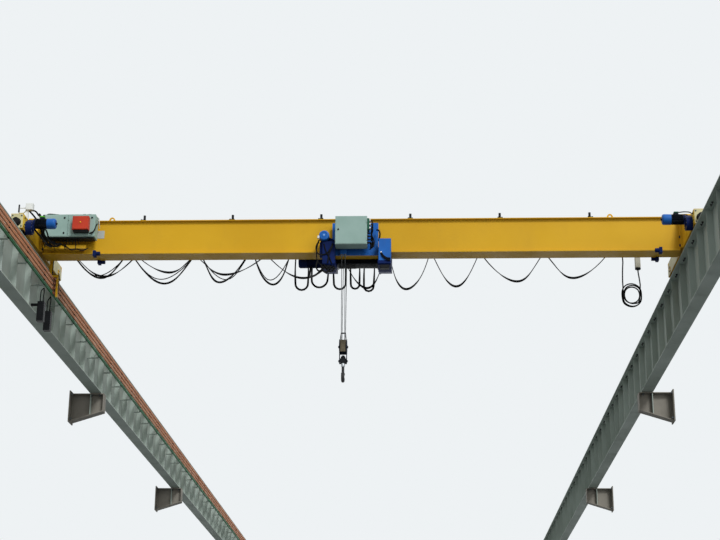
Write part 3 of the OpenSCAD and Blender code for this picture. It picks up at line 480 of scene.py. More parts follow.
@dataclass(frozen=True)
class BareMetal:
    """Steel or zinc without paint: rolled, turned or galvanised, with a film of grease or scale.

    name: what the metal is; colour and scale: its clean and its dulled sRGB tone; grain: width
    of its marks in metres; rough: its polish; streak: how long its marks are along X, Y and Z;
    metal: how metallic its surface still is.
    """

    name: str
    colour: str
    scale: str
    grain: float = 0.02
    rough: float = 0.4
    streak: Point = (1.0, 1.0, 1.0)
    metal: float = 0.85

    def build(self) -> bpy.types.Material:
        """Makes the material: dull patches over metal, with marks that follow the streak.

        Returns:
            The material.
        """
        material = bpy.data.materials.new(self.name)
        material.use_nodes = True
        tree = material.node_tree
        shader = tree.nodes["Principled BSDF"]
        coords = add_node(tree, "ShaderNodeTexCoord", {}).outputs["Object"]
        marks = noise(tree, coords, self.grain, 5.0, self.streak)
        dull = ranged(tree, marks, (0.35, 0.7), (0.0, 1.0))
        tree.links.new(mixed(tree, dull, srgb(self.colour), srgb(self.scale)), shader.inputs["Base Color"])
        tree.links.new(ranged(tree, marks, (0.3, 0.7), (self.rough - 0.08, self.rough + 0.18)),
                       shader.inputs["Roughness"])
        relief = add_node(tree, "ShaderNodeBump", {"Height": marks, "Strength": 0.15, "Distance": 0.0005})
        tree.links.new(relief.outputs[0], shader.inputs["Normal"])
        shader.inputs["Metallic"].default_value = self.metal
        return material


@dataclass(frozen=True)
class Moulded:
    """Moulded rubber or plastic: one colour, a fine matt grain, and a little dust.

    name: what the material is; colour: its sRGB tone; rough: its gloss; grain: width of the
    mould grain in metres; faded: its tone where it has faded; shine: how much it mirrors.
    """

    name: str
    colour: str
    faded: str
    rough: float = 0.6
    grain: float = 0.003
    shine: float = 0.08

    def build(self) -> bpy.types.Material:
        """Makes the material: the colour clouded by its faded tone, over a fine grain.

        Returns:
            The material.
        """
        material = bpy.data.materials.new(self.name)
        material.use_nodes = True
        tree = material.node_tree
        shader = tree.nodes["Principled BSDF"]
        coords = add_node(tree, "ShaderNodeTexCoord", {}).outputs["Object"]
        faded = ranged(tree, noise(tree, coords, 0.12, 3.0), (0.4, 0.75), (0.0, 0.6))
        tree.links.new(mixed(tree, faded, srgb(self.colour), srgb(self.faded)), shader.inputs["Base Color"])
        grain = add_node(tree, "ShaderNodeBump",
                         {"Height": noise(tree, coords, self.grain, 2.0), "Strength": 0.2,
                          "Distance": 0.0004})
        tree.links.new(grain.outputs[0], shader.inputs["Normal"])
        shader.inputs["Roughness"].default_value = self.rough
        shader.inputs["IOR"].default_value = 1.48
        shader.inputs["Specular IOR Level"].default_value = self.shine
        return material


@dataclass(frozen=True)
class WireRope:
    """Greased steel rope: strands that wind round it, drawn coarser than real so that they show.

    name: what the rope is; colour and gap: the sRGB tones of the strands and of the grease
    between them; lay: height of one turn of a strand in metres.
    """

    name: str
    colour: str
    gap: str
    lay: float = 0.03

    def build(self) -> bpy.types.Material:
        """Makes the material: slanting bands of strand and gap along Z.

        Returns:
            The material.
        """
        material = bpy.data.materials.new(self.name)
        material.use_nodes = True
        tree = material.node_tree
        shader = tree.nodes["Principled BSDF"]
        coords = add_node(tree, "ShaderNodeTexCoord", {}).outputs["Object"]
        slant = add_node(tree, "ShaderNodeMapping", {"Vector": coords, "Scale": (1.0, 1.0, 0.35)})
        bands = add_node(tree, "ShaderNodeTexWave", {"Vector": slant.outputs[0], "Scale": 0.35 / self.lay},
                         bands_direction="DIAGONAL")
        tree.links.new(mixed(tree, bands.outputs[1], srgb(self.gap), srgb(self.colour)),
                       shader.inputs["Base Color"])
        shader.inputs["Metallic"].default_value = 0.7
        shader.inputs["Roughness"].default_value = 0.45
        return material


FINISHES = (
    # Alkyd enamel over shot-blasted plate: warm golden yellow with a soft gloss.
    Enamel("girder yellow enamel", "#cfa21e", "#c4971a", cloud=1.6, rough=0.4, dust=0.2, soil=0.07),
    # The same enamel on the trucks, which were sprayed apart and have more handling marks.
    Enamel("truck yellow enamel", "#d0a421", "#bd931d", cloud=0.5, rough=0.42, dust=0.2, soil=0.12),
    # Thick bright blue machine enamel.
    Enamel("hoist blue enamel", "#1f62b2", "#1b58a2", cloud=0.3, rough=0.38, dust=0.12, soil=0.1),
    # The darker blue of castings and frames.
    Enamel("casting navy enamel", "#15265a", "#111d44", cloud=0.25, rough=0.42, dust=0.05, soil=0.04,
           shine=0.03),
    # Grey-green structural paint on the runway, brushed and rolled on site.
    Enamel("runway grey-green paint", "#a9b5ae", "#97a39b", cloud=1.1, rough=0.58, dust=0.3, soil=0.2),
    # Structural grey, warmer and darker than the beams above it: the shadow under the beams painted in as
    # shade.
    Enamel("corbel grey with painted shade", "#837f76", "#75726a", cloud=0.5, rough=0.58, dust=0.3, soil=0.16),
    # Fine-textured powder coat of switch cabinets.
    Enamel("cabinet powder coat", "#92aca5", "#88a39b", cloud=0.4, rough=0.5, peel=0.003, dust=0.1,
           soil=0.05),
    # Glossy signal red on the alarm box, the one warm accent at the left end.
    Enamel("signal red enamel", "#bb3d27", "#ac3623", cloud=0.2, rough=0.4, dust=0.15, soil=0.05),
    # Clean off-white on small switch and terminal boxes.
    Enamel("off-white enamel", "#dde1de", "#cfd4d1", cloud=0.2, rough=0.45, dust=0.2, soil=0.08),
    # Paler yellow of the small brackets at the travel drives.
    Enamel("pale bracket yellow", "#e0c64a", "#d2b63e", cloud=0.2, rough=0.45, dust=0.2, soil=0.1),
    # Soft cream on the trucks' end caps and cover sheets.
    Enamel("cream cap enamel", "#c9c49a", "#bdb78c", cloud=0.2, rough=0.45, dust=0.2, soil=0.12),
    # Fresh leaf green of a plastic-coated terminal lid.
    Enamel("lid green enamel", "#58b82c", "#4da626", cloud=0.2, rough=0.4, dust=0.05, soil=0.03),
    # Pale blue disc at the hub of a fan cover.
    Enamel("fan badge blue", "#7fa6d8", "#7399cb", cloud=0.1, rough=0.4, dust=0.0, soil=0.0),
    # Deep bottle green of connector and terminal housings.
    Enamel("terminal green enamel", "#1f5a44", "#1a4c3a", cloud=0.2, rough=0.45, dust=0.1, soil=0.05),
    # Dark blue-black of the motors' cast bodies.
    Enamel("motor dark enamel", "#10161f", "#18202c", cloud=0.15, rough=0.45, dust=0.15, soil=0.1,
           shine=0.03),
    # Amber lens with a lacquered gleam.
    Enamel("lamp amber", "#e9a52a", "#e39a1f", cloud=0.1, rough=0.3, dust=0.0, soil=0.0, coat=0.4),
    # Black enamel on brackets, posts and small steel.
    Enamel("black enamel", "#1d1f21", "#26282a", cloud=0.2, rough=0.5, dust=0.25, soil=0.1, shine=0.03),
    # Olive coat worn through to grime on the hook block's front.
    Enamel("worn olive enamel", "#625a48", "#403b2e", cloud=0.08, rough=0.5, dust=0.2, soil=0.45),
    # Extruded covers of the conductor bars.
    Enamel("phase cover orange-brown", "#d79c78", "#c68b69", cloud=0.7, rough=0.5, dust=0.2, soil=0.12),
    # The same extrusion in the dull green of the earth bar.
    Enamel("earth cover green", "#2f6e48", "#285e3d", cloud=0.7, rough=0.5, dust=0.3, soil=0.12),
    # Rolled rail steel: brown scale with grey wear.
    BareMetal("rolled rail steel", "#7a726b", "#574c43", grain=0.09, rough=0.5, streak=(1, 14, 1), metal=0.6),
    # Treads turned bright, with grey wear.
    BareMetal("turned wheel steel", "#85878a", "#5c5d5f", grain=0.02, rough=0.36),
    # Grooved drum, almost black: grease, and painted shade for the shadow under the girder.
    BareMetal("drum steel with painted shade", "#26282b", "#1b1d1f", grain=0.03, rough=0.5, metal=0.3),
    # Wound rope, darker than the falls: old grease, and painted shade for the shadow under the girder.
    BareMetal("greased rope with painted shade", "#17181a", "#0f1011", grain=0.01, rough=0.6, metal=0.2),
    # Brown cast iron with an oily film.
    BareMetal("greasy sheave iron", "#6b5f52", "#4a4038", grain=0.02, rough=0.45, metal=0.5),
    # Forged hook, black and dull with an oily skin.
    BareMetal("dark hook steel", "#1b1c1e", "#121315", grain=0.02, rough=0.5, metal=0.3),
    # Bright zinc that catches the light under the dark block.
    BareMetal("bright latch zinc", "#c9cdd0", "#9fa3a6", grain=0.01, rough=0.3),
    # Spangled grey zinc of rolled track.
    BareMetal("galvanised track zinc", "#8b9194", "#74797c", grain=0.04, rough=0.45, metal=0.7),
    # Dulled zinc on bolts and nuts.
    BareMetal("zinc-plated fastener", "#5d6164", "#3d4042", grain=0.01, rough=0.42),
    # Oil-blackened bolts that hardly show.
    BareMetal("blackened fastener", "#2a2c2e", "#1d1e20", grain=0.01, rough=0.5, metal=0.4),
    # Reddish copper-carbon of the sliding shoes.
    BareMetal("carbon shoe copper", "#8a4a2a", "#5f3520", grain=0.02, rough=0.5, metal=0.3),
    # Neoprene and polyurethane, moulded or extruded.
    Moulded("buffer rubber", "#1d1d1e", "#2b2b2b", rough=0.7),
    # Near-black cable sheath with a faint satin line along its top.
    Moulded("cable neoprene", "#0b0c0d", "#131416", rough=0.48, grain=0.002),
    # Slightly greyer sheath of the pendant's cord.
    Moulded("cord neoprene", "#101112", "#191a1b", rough=0.45, grain=0.002),
    # Warm light grey of a hand-held station.
    Moulded("pendant grey plastic", "#c3c4b8", "#b6b7ab", rough=0.5),
    # Plain grey plate, flat and even.
    Moulded("grey sheet", "#a8aeab", "#989e9b", rough=0.6),
    # Clean white sleeve on plugs and a loop of cable.
    Moulded("white sheath", "#e4e6e3", "#d3d5d2", rough=0.5),
    # Hard black plastic with a small highlight.
    Moulded("black bakelite", "#17181a", "#232527", rough=0.4),
    # Saturated red mushroom button.
    Moulded("button red plastic", "#b3261c", "#a3221a", rough=0.35),
    # Steel strands that glint between dark grease.
    WireRope("greased wire rope", "#5c5f61", "#26292b"),
)


class Paintbox:
    """Builds each finish once and hands it out by name."""

    def __init__(self) -> None:
        """Builds every finish."""
        self.made = {finish.name: finish.build() for finish in FINISHES}

    def __getitem__(self, name: str) -> bpy.types.Material:
        """The material of that name."""
        return self.made[name]

    def dress(self, frame: dict, table: dict[str, str]) -> None:
        """Gives each CAD node of a table its material.

        Args:
            table: the name of the finish for each node.
        """
        for node, name in table.items():
            data = frame["nodes"][node].data
            data.materials.clear()
            data.materials.append(self[name])


@dataclass
class Workshop:
    """What every sub-assembly needs: the loaded frame and the finishes."""

    frame: dict
    paint: Paintbox

    def make(self, name: str, shape: Shape, finish: str, body: Body | None, slot: str,
             bevel: float = 0.0, angle: float = 35.0) -> bpy.types.Object:
        """Turns a shape into a finished piece that rides on a body.

        Args:
            name: the piece's name.
            shape: its vertices and faces, in the row's frame.
            finish: the name of its finish.
            body: the body that it rides on, or None for a piece that spans two bodies and is left on neither.
            slot: the record's material slot that it stands under; not used.
            bevel: width of the rounding on its edges, in metres.
            angle: edges sharper than this stay sharp, in degrees.

        Returns:
            The new object.
        """
        mesh = bpy.data.meshes.new(name)
        faces = [row for block in shape.faces for row in block.tolist()]
        mesh.from_pydata(shape.verts.tolist(), [], faces)
        mesh.polygons.foreach_set("use_smooth", np.ones(len(mesh.polygons), bool))
        mesh.set_sharp_from_angle(angle=math.radians(angle))
        mesh.materials.append(self.paint[finish])
        piece = bpy.data.objects.new(name, mesh)
        bpy.context.scene.collection.objects.link(piece)
        if bevel:
            edge = piece.modifiers.new("edge", "BEVEL")
            edge.width, edge.segments, edge.limit_method = bevel, 2, "ANGLE"
            edge.angle_limit = math.radians(40)
        if body:
            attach(piece, body.value)
        LOG.info("%s: %d faces", name, len(faces))
        return piece


def on_bridge(shape: Shape) -> Shape:
    """Carries a shape from the bridge's datum into the row's frame."""
    return shape.moved(DATUM)


@dataclass
class Runway:
    """Rail clips, anchor nuts, conductor clamps and feed boxes of the runway."""

    shop: Workshop
    rail_xs: Span = (RAIL_X, RAIL_X + SPAN)
    beam_top: float = 1.09
    top_flange: float = 0.014
    bolt_offset: float = 0.062
    pitch: float = 0.75
    anchor_t: float = 0.02
    anchor_pitch: Span = (0.26, 0.44)
    bar_x: float = RAIL_X + 0.215
    bar_drop: float = 0.265
    bar_pitch: float = 0.075

    def build(self) -> None:
        """Dresses the runway's nodes and adds its fasteners and electrical parts."""
        # The corbels' finish is darkened by painted shade for the shadow under the beams.
        self.shop.paint.dress(self.shop.frame, {
            "runway_beams_left": "runway grey-green paint", "runway_beams_right": "runway grey-green paint",
            "crane_rails": "rolled rail steel", "corbels": "corbel grey with painted shade",
            "end_stops": "truck yellow enamel", "conductor_bars": "phase cover orange-brown",
            "earth_bar": "earth cover green", "bar_brackets": "runway grey-green paint",
            "feed_boxes": "black bakelite"})
        self.rail_fasteners()
        self.corbel_fasteners()
        self.conductor_clamps()
        self.feed_details()
        self.stop_pads()

    def rail_fasteners(self) -> None:
        """Clip plates over the rail's foot, each with two bolt heads above and two nuts below the flange."""
        ys = self.pitch * (np.arange(round(BAY * BAYS / self.pitch)) + 2 / 3)
        bolt_y = (ys[:, None] + [-0.045, 0.045]).ravel()
        xs = [x + s * self.bolt_offset for x in self.rail_xs for s in (-1, 1)]
        near = [x + s * (self.bolt_offset - 0.004) for x in self.rail_xs for s in (-1, 1)]
        clip = slab((-0.024, 0.024), (-0.075, 0.075), (0.0, 0.016))
        self.shop.make("rail_clips", clip.at_each(grid(near, ys, [self.beam_top + 0.0006])),
                       "zinc-plated fastener", Body.RUNWAY, "rail_steel")
        head = hex_bolt(0.024, 0.012)
        nut = nut_on_stud(0.026, 0.016, 0.012).turned(Facing.DOWN)
        self.shop.make("rail_clip_bolts", joined(
            head.at_each(grid(xs, bolt_y, [self.beam_top + 0.016])),
            nut.at_each(grid(xs, bolt_y, [self.beam_top - self.top_flange]))),
            "blackened fastener", Body.RUNWAY, "rail_steel")

    def corbel_fasteners(self) -> None:
        """Nuts on the column anchors, and the bolts that hold the beams down on their corbels."""
        ys = BAY * np.arange(BAYS + 1)
        anchor_y = [y + s * self.anchor_pitch[0] / 2 for y in ys for s in (-1, 1)]
        anchor_z = [-self.anchor_pitch[1] / 2, self.anchor_pitch[1] / 2]
        stud = nut_on_stud(0.034, 0.018, 0.022)
        wall = self.rail_xs[1] + RAIL_X
        self.shop.make("corbel_anchor_nuts", joined(
            stud.turned(Facing.RIGHT).at_each(grid([self.anchor_t], anchor_y, anchor_z)),
            stud.turned(Facing.LEFT).at_each(grid([wall - self.anchor_t], anchor_y, anchor_z))),
            "zinc-plated fastener", Body.RUNWAY, "runway_paint")
        ribs = [slab(tuple(sorted((abs(x - 0.359), abs(x - 0.371)))),
                     (s * 0.0515 - 0.0435, s * 0.0515 + 0.0435),
                     (-0.137, 0.226)) for x in (0.0, wall) for s in (-1, 1)]
        self.shop.make("corbel_stiffeners", joined(*ribs).at_each(grid([0.0], ys, [0.0])),
                       "runway grey-green paint",
                       Body.RUNWAY, "runway_paint", bevel=0.002)
        xs = [x + s * 0.07 for x in self.rail_xs for s in (-1, 1)]
        hold_y = [y + s * 0.05 for y in ys for s in (-1, 1)]
        down = nut_on_stud(0.034, 0.018, 0.016)
        self.shop.make("corbel_seat_bolts", joined(
            down.at_each(grid(xs, hold_y, [0.264])),
            down.turned(Facing.DOWN).at_each(grid(xs, hold_y, [0.226]))),
            "zinc-plated fastener", Body.RUNWAY, "runway_paint")

    def conductor_clamps(self) -> None:
        """Two-lipped clamps that hold each bar on its bracket, and the sleeves at the bars' joints."""
        ys = 0.06 + np.arange(36)
        zs = [RAIL_TOP - self.bar_drop - i * self.bar_pitch for i in range(4)]
        lip = joined(slab((-0.0135, 0.006), (-0.014, 0.014), (0.017, 0.023)),
                     slab((-0.0135, 0.006), (-0.014, 0.014), (-0.023, -0.017)))
        self.shop.make("conductor_clamps", lip.at_each(grid([self.bar_x], ys, zs)),
                       "black bakelite", Body.RUNWAY, "black_steel")
        sleeve = slab((-0.0142, 0.004), (-0.07, 0.07), (-0.0195, 0.0195))
        joints = 2.56 + 4.0 * np.arange(9)
        self.shop.make("phase_bar_sleeves", sleeve.at_each(grid([self.bar_x], joints, zs[:3])),
                       "phase cover orange-brown", Body.RUNWAY, "phase_conductor", bevel=0.002)
        self.shop.make("earth_bar_sleeves", sleeve.at_each(grid([self.bar_x], joints, zs[3:])),
                       "earth cover green", Body.RUNWAY, "earth_conductor", bevel=0.002)

    def feed_details(self) -> None:
        """Ribs and glands on the two feed boxes, and the cables from them up to the bars."""
        ribs, glands, leads = [], [], []
        for k, y in enumerate((4.15, 4.57)):
            top = 0.44 - 0.02 * k
            rib = slab((0.5605, 0.6645), (y - 0.002, y + 0.102), (0.0, 0.008))
            ribs.append(rib.at_each(grid([0.0], [0.0], top - 0.03 - 0.034 * np.arange(8))))
            gland = turned_part([(0, 0.016), (0.018, 0.016), (0.022, 0.011), (0.034, 0.011)], 12)
            glands.append(gland.at_each(grid([0.59, 0.635], [y + 0.05], [top])))
            leads += [cable([(x, y + 0.05, top + 0.02), (x, y + 0.05, top + 0.09),
                             (x + 0.01, y + 0.03, top + 0.17), (0.642, y + 0.02, RAIL_TOP - 0.53)], 0.008)
                      for x in (0.59, 0.635)]
        self.shop.make("feed_box_ribs", joined(*ribs), "black bakelite", Body.RUNWAY, "black_steel",
                       bevel=0.002)
        self.shop.make("feed_box_glands", joined(*glands), "black bakelite", Body.RUNWAY, "black_steel")
        self.shop.make("feed_leads", joined(*leads), "cable neoprene", Body.RUNWAY, "cable_sheath")

    def stop_pads(self) -> None:
        """Rubber pads on the end stops, where the bridge's buffers meet them."""
        near = slab((-0.06, 0.06), (0.1, 0.108), (0.06, 0.16))
        far = slab((-0.06, 0.06), (35.892, 35.9), (0.06, 0.16))
        pads = [s.moved((x, 0.0, RAIL_TOP)) for s in (near, far) for x in self.rail_xs]
        self.shop.make("end_stop_pads", joined(*pads), "buffer rubber", Body.RUNWAY, "black_rubber",
                       bevel=0.002)


@dataclass
class Girder:
    """Welds, bolts and small plates of the box girder and its end trucks."""

    shop: Workshop
    half: float = 4.728
    web: float = 0.11
    height: float = 0.53
    top_t: float = 0.012
    bottom_t: float = 0.02
    truck_x: float = SPAN / 2
    truck_half: float = 0.09

    def build(self) -> None:
        """Dresses the girder and truck nodes and adds their details."""
        yellow = "girder yellow enamel"
        self.shop.paint.dress(self.shop.frame, {
            "girder_top_flange": yellow, "girder_bottom_flange": yellow, "girder_webs": yellow,
            "girder_end_plates": "truck yellow enamel", "lifting_lugs": yellow,
            "end_truck_left": "truck yellow enamel", "end_truck_right": "truck yellow enamel",
            "bridge_wheels": "turned wheel steel", "bridge_buffers": "buffer rubber",
            "trolley_stops": "casting navy enamel"})
        self.welds()
        self.end_bolts()
        self.truck_details()
        self.web_plate()

    def welds(self) -> None:
        """Fillet beads where the webs meet the flanges: a three-cornered bar along X."""
        size = 0.008
        runs = []
        for side in (-1, 1):
            for z, up in ((self.bottom_t, 1), (self.height - self.top_t, -1)):
                y = side * self.web
                ring = [(y, z), (y + side * size, z), (y, z + up * size)]
                if side * up < 0:
                    ring = [ring[0], ring[2], ring[1]]
                flat = np.array(ring)
                runs.append(loft(np.stack([np.column_stack([np.full(3, x), flat])
                                           for x in (-self.half + 0.002, self.half - 0.002)])))
        self.shop.make("girder_welds", on_bridge(joined(*runs)), "girder yellow enamel",
                       Body.BRIDGE, "yellow_paint")

    def end_bolts(self) -> None:
        """Bolts through the end plates, heads towards midspan, in a row outside each web."""
        head = hex_bolt(0.036, 0.017)
        ys, zs = [-0.178, 0.178], [0.07, 0.2, 0.33, 0.46]
        self.shop.make("girder_end_bolts", on_bridge(joined(
            head.turned(Facing.RIGHT).at_each(grid([-self.half], ys, zs)),
            head.turned(Facing.LEFT).at_each(grid([self.half], ys, zs[:2])),
            head.turned(Facing.LEFT).at_each(grid([self.half], ys[1:], zs[2:])))),
            "blackened fastener", Body.BRIDGE, "machined_steel")

    def truck_details(self) -> None:
        """Axle covers with their bolts on both faces of the trucks, and end caps with buffer bolts."""
        cover = turned_part([(0, 0.052), (0.007, 0.052), (0.010, 0.047)], 24)
        bolt = hex_bolt(0.014, 0.008)
        ring = np.pi / 4 + np.arange(4) * np.pi / 2
        bolts = bolt.at_each(np.column_stack([0.038 * np.cos(ring), 0.038 * np.sin(ring), np.full(4, 0.010)]))
        shapes, heads = [], []
        for sign in (-1, 1):
            faces = ((self.truck_half, Facing.RIGHT), (-self.truck_half, Facing.LEFT))
            for off, facing in faces:
                for y in (-1.0, 1.0):
                    if off * sign < 0 and y < 0:
                        continue
                    place = (sign * self.truck_x + off, y, 0.1003)
                    shapes.append(cover.turned(facing).moved(place))
                    heads.append(bolts.turned(facing).moved(place))
        self.shop.make("axle_covers", on_bridge(joined(*shapes)), "truck yellow enamel",
                       Body.BRIDGE, "yellow_paint")
        caps = [slab((sign * self.truck_x - 0.086, sign * self.truck_x + 0.086), (y - 0.003, y + 0.003),
                     (0.034, 0.246)) for sign in (-1, 1) for y in (-1.2, 1.2)]
        nuts = hex_bolt(0.018, 0.010)
        for sign in (-1, 1):
            for facing, y in ((Facing.FRONT, -1.203), (Facing.BACK, 1.203)):
                heads.append(nuts.turned(facing).at_each(
                    grid([sign * self.truck_x - 0.066, sign * self.truck_x + 0.066], [y], [0.06, 0.22])))
        self.shop.make("truck_end_caps", on_bridge(joined(*caps)), "cream cap enamel",
                       Body.BRIDGE, "yellow_paint", bevel=0.002)
        self.shop.make("truck_bolts", on_bridge(joined(*heads)), "zinc-plated fastener",
                       Body.BRIDGE, "machined_steel")

    def web_plate(self) -> None:
        """A bare sheet plate riveted on the web beside the cabinets."""
        sheet = slab((-3.93, -3.82), (-self.web - 0.003, -self.web), (0.258, 0.381))
        self.shop.make("web_plate", on_bridge(sheet), "grey sheet", Body.BRIDGE, "switch_paint",
                       bevel=0.001)


@dataclass
class TravelDrives:
    """The two travel motors with fins, fan covers and terminal boxes, and their gear units."""

    shop: Workshop
    motor_y: float = -0.93
    motor_z: float = 0.1903
    start: float = 4.6517
    length: float = 0.3
    radius: float = 0.078
    gear_face: float = 4.67

    def build(self) -> None:
        """Dresses the gear units and replaces the plain motors."""
        self.shop.paint.dress(self.shop.frame, {"travel_gear_units": "casting navy enamel"})
        for side, label in ((-1, "left"), (1, "right")):
            self.motor(side, label)
            self.gear_bolts(side, label)

    def place(self, shape: Shape, side: int) -> Shape:
        """Lays an upright motor part along X at the drive on one side."""
        facing = Facing.LEFT if side > 0 else Facing.RIGHT
        return on_bridge(shape.turned(facing).moved((side * self.start, self.motor_y, self.motor_z)))

    def motor(self, side: int, label: str) -> None:
        """Finned dark body, bright fan cover with a slotted end, and the terminal box with its green lid.

        Args:
            side: -1 for the left end and 1 for the right.
            label: the word that ends the pieces' names.
        """
        r, split, end = self.radius, 0.165, self.length
        body = turned_part([(0, r - 0.004), (0.014, r - 0.004), (0.016, r - 0.014), (split, r - 0.014),
                            (split + 0.002, r - 0.006), (split + 0.012, r - 0.006)], 32)
        ribs = ringed(slab((-0.0014, 0.0014), (r - 0.016, r - 0.003), (0.016, split)), 26)
        motor = self.shop.make(f"travel_motor_{label}", self.place(joined(body, ribs), side),
                               "motor dark enamel",
                               Body.BRIDGE, "blue_paint")
        cover = turned_part([(split + 0.01, r - 0.002), (end - 0.03, r), (end - 0.014, r - 0.003),
                             (end - 0.003, r - 0.013), (end, r - 0.026)], 40)
        self.shop.make(f"fan_cover_{label}", self.place(cover, side), "hoist blue enamel",
                       Body.BRIDGE, "blue_paint")
        slots = ringed(slab((-0.0016, 0.0016), (0.02, 0.05), (end - 0.0002, end + 0.0002)), 16)
        knob = turned_part([(end - 0.001, 0.017), (end + 0.016, 0.016), (end + 0.02, 0.011)], 16)
        self.shop.make(f"fan_slots_{label}", self.place(joined(slots, knob), side), "black bakelite",
                       Body.BRIDGE, "black_steel")
        lo, hi = sorted((side * (self.start - 0.068), side * (self.start - 0.13)))
        top = self.motor_z + self.radius
        base = slab((lo, hi), (self.motor_y - 0.04, self.motor_y + 0.04), (top - 0.02, top + 0.012))
        lid = slab((lo - 0.002, hi + 0.002), (self.motor_y - 0.042, self.motor_y + 0.042),
                   (top + 0.012, top + 0.03))
        self.shop.make(f"terminal_box_{label}", on_bridge(base), "motor dark enamel", Body.BRIDGE,
                       "blue_paint",
                       bevel=0.003)
        self.shop.make(f"terminal_lid_{label}", on_bridge(lid),
                       "lid green enamel" if side < 0 else "terminal green enamel", Body.BRIDGE,
                       "blue_paint", bevel=0.004)
        if side < 0:
            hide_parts("travel_motors")

    def gear_bolts(self, side: int, label: str) -> None:
        """Casing bolts round the gear unit's lower rim at the wheel axle, and one near the motor.

        Args:
            side: -1 for the left end and 1 for the right.
            label: the word that ends the pieces' names.
        """
        face = side * self.gear_face
        facing = Facing.LEFT if side > 0 else Facing.RIGHT
        angle = np.radians([120, 155, 190, 225, 260, 295, 330])
        low = np.column_stack([np.zeros(7), -1.0 + 0.088 * np.cos(angle), 0.1003 + 0.088 * np.sin(angle)])
        angle = np.radians([140])
        high = np.column_stack([np.zeros(1), self.motor_y + 0.05 * np.cos(angle),
                                self.motor_z + 0.05 * np.sin(angle)])
        spots = np.concatenate([low, high]) + [face, 0, 0]
        bolts = hex_bolt(0.013, 0.009).turned(facing).at_each(spots)
        self.shop.make(f"gear_unit_bolts_{label}", on_bridge(bolts), "zinc-plated fastener",
                       Body.BRIDGE, "machined_steel")


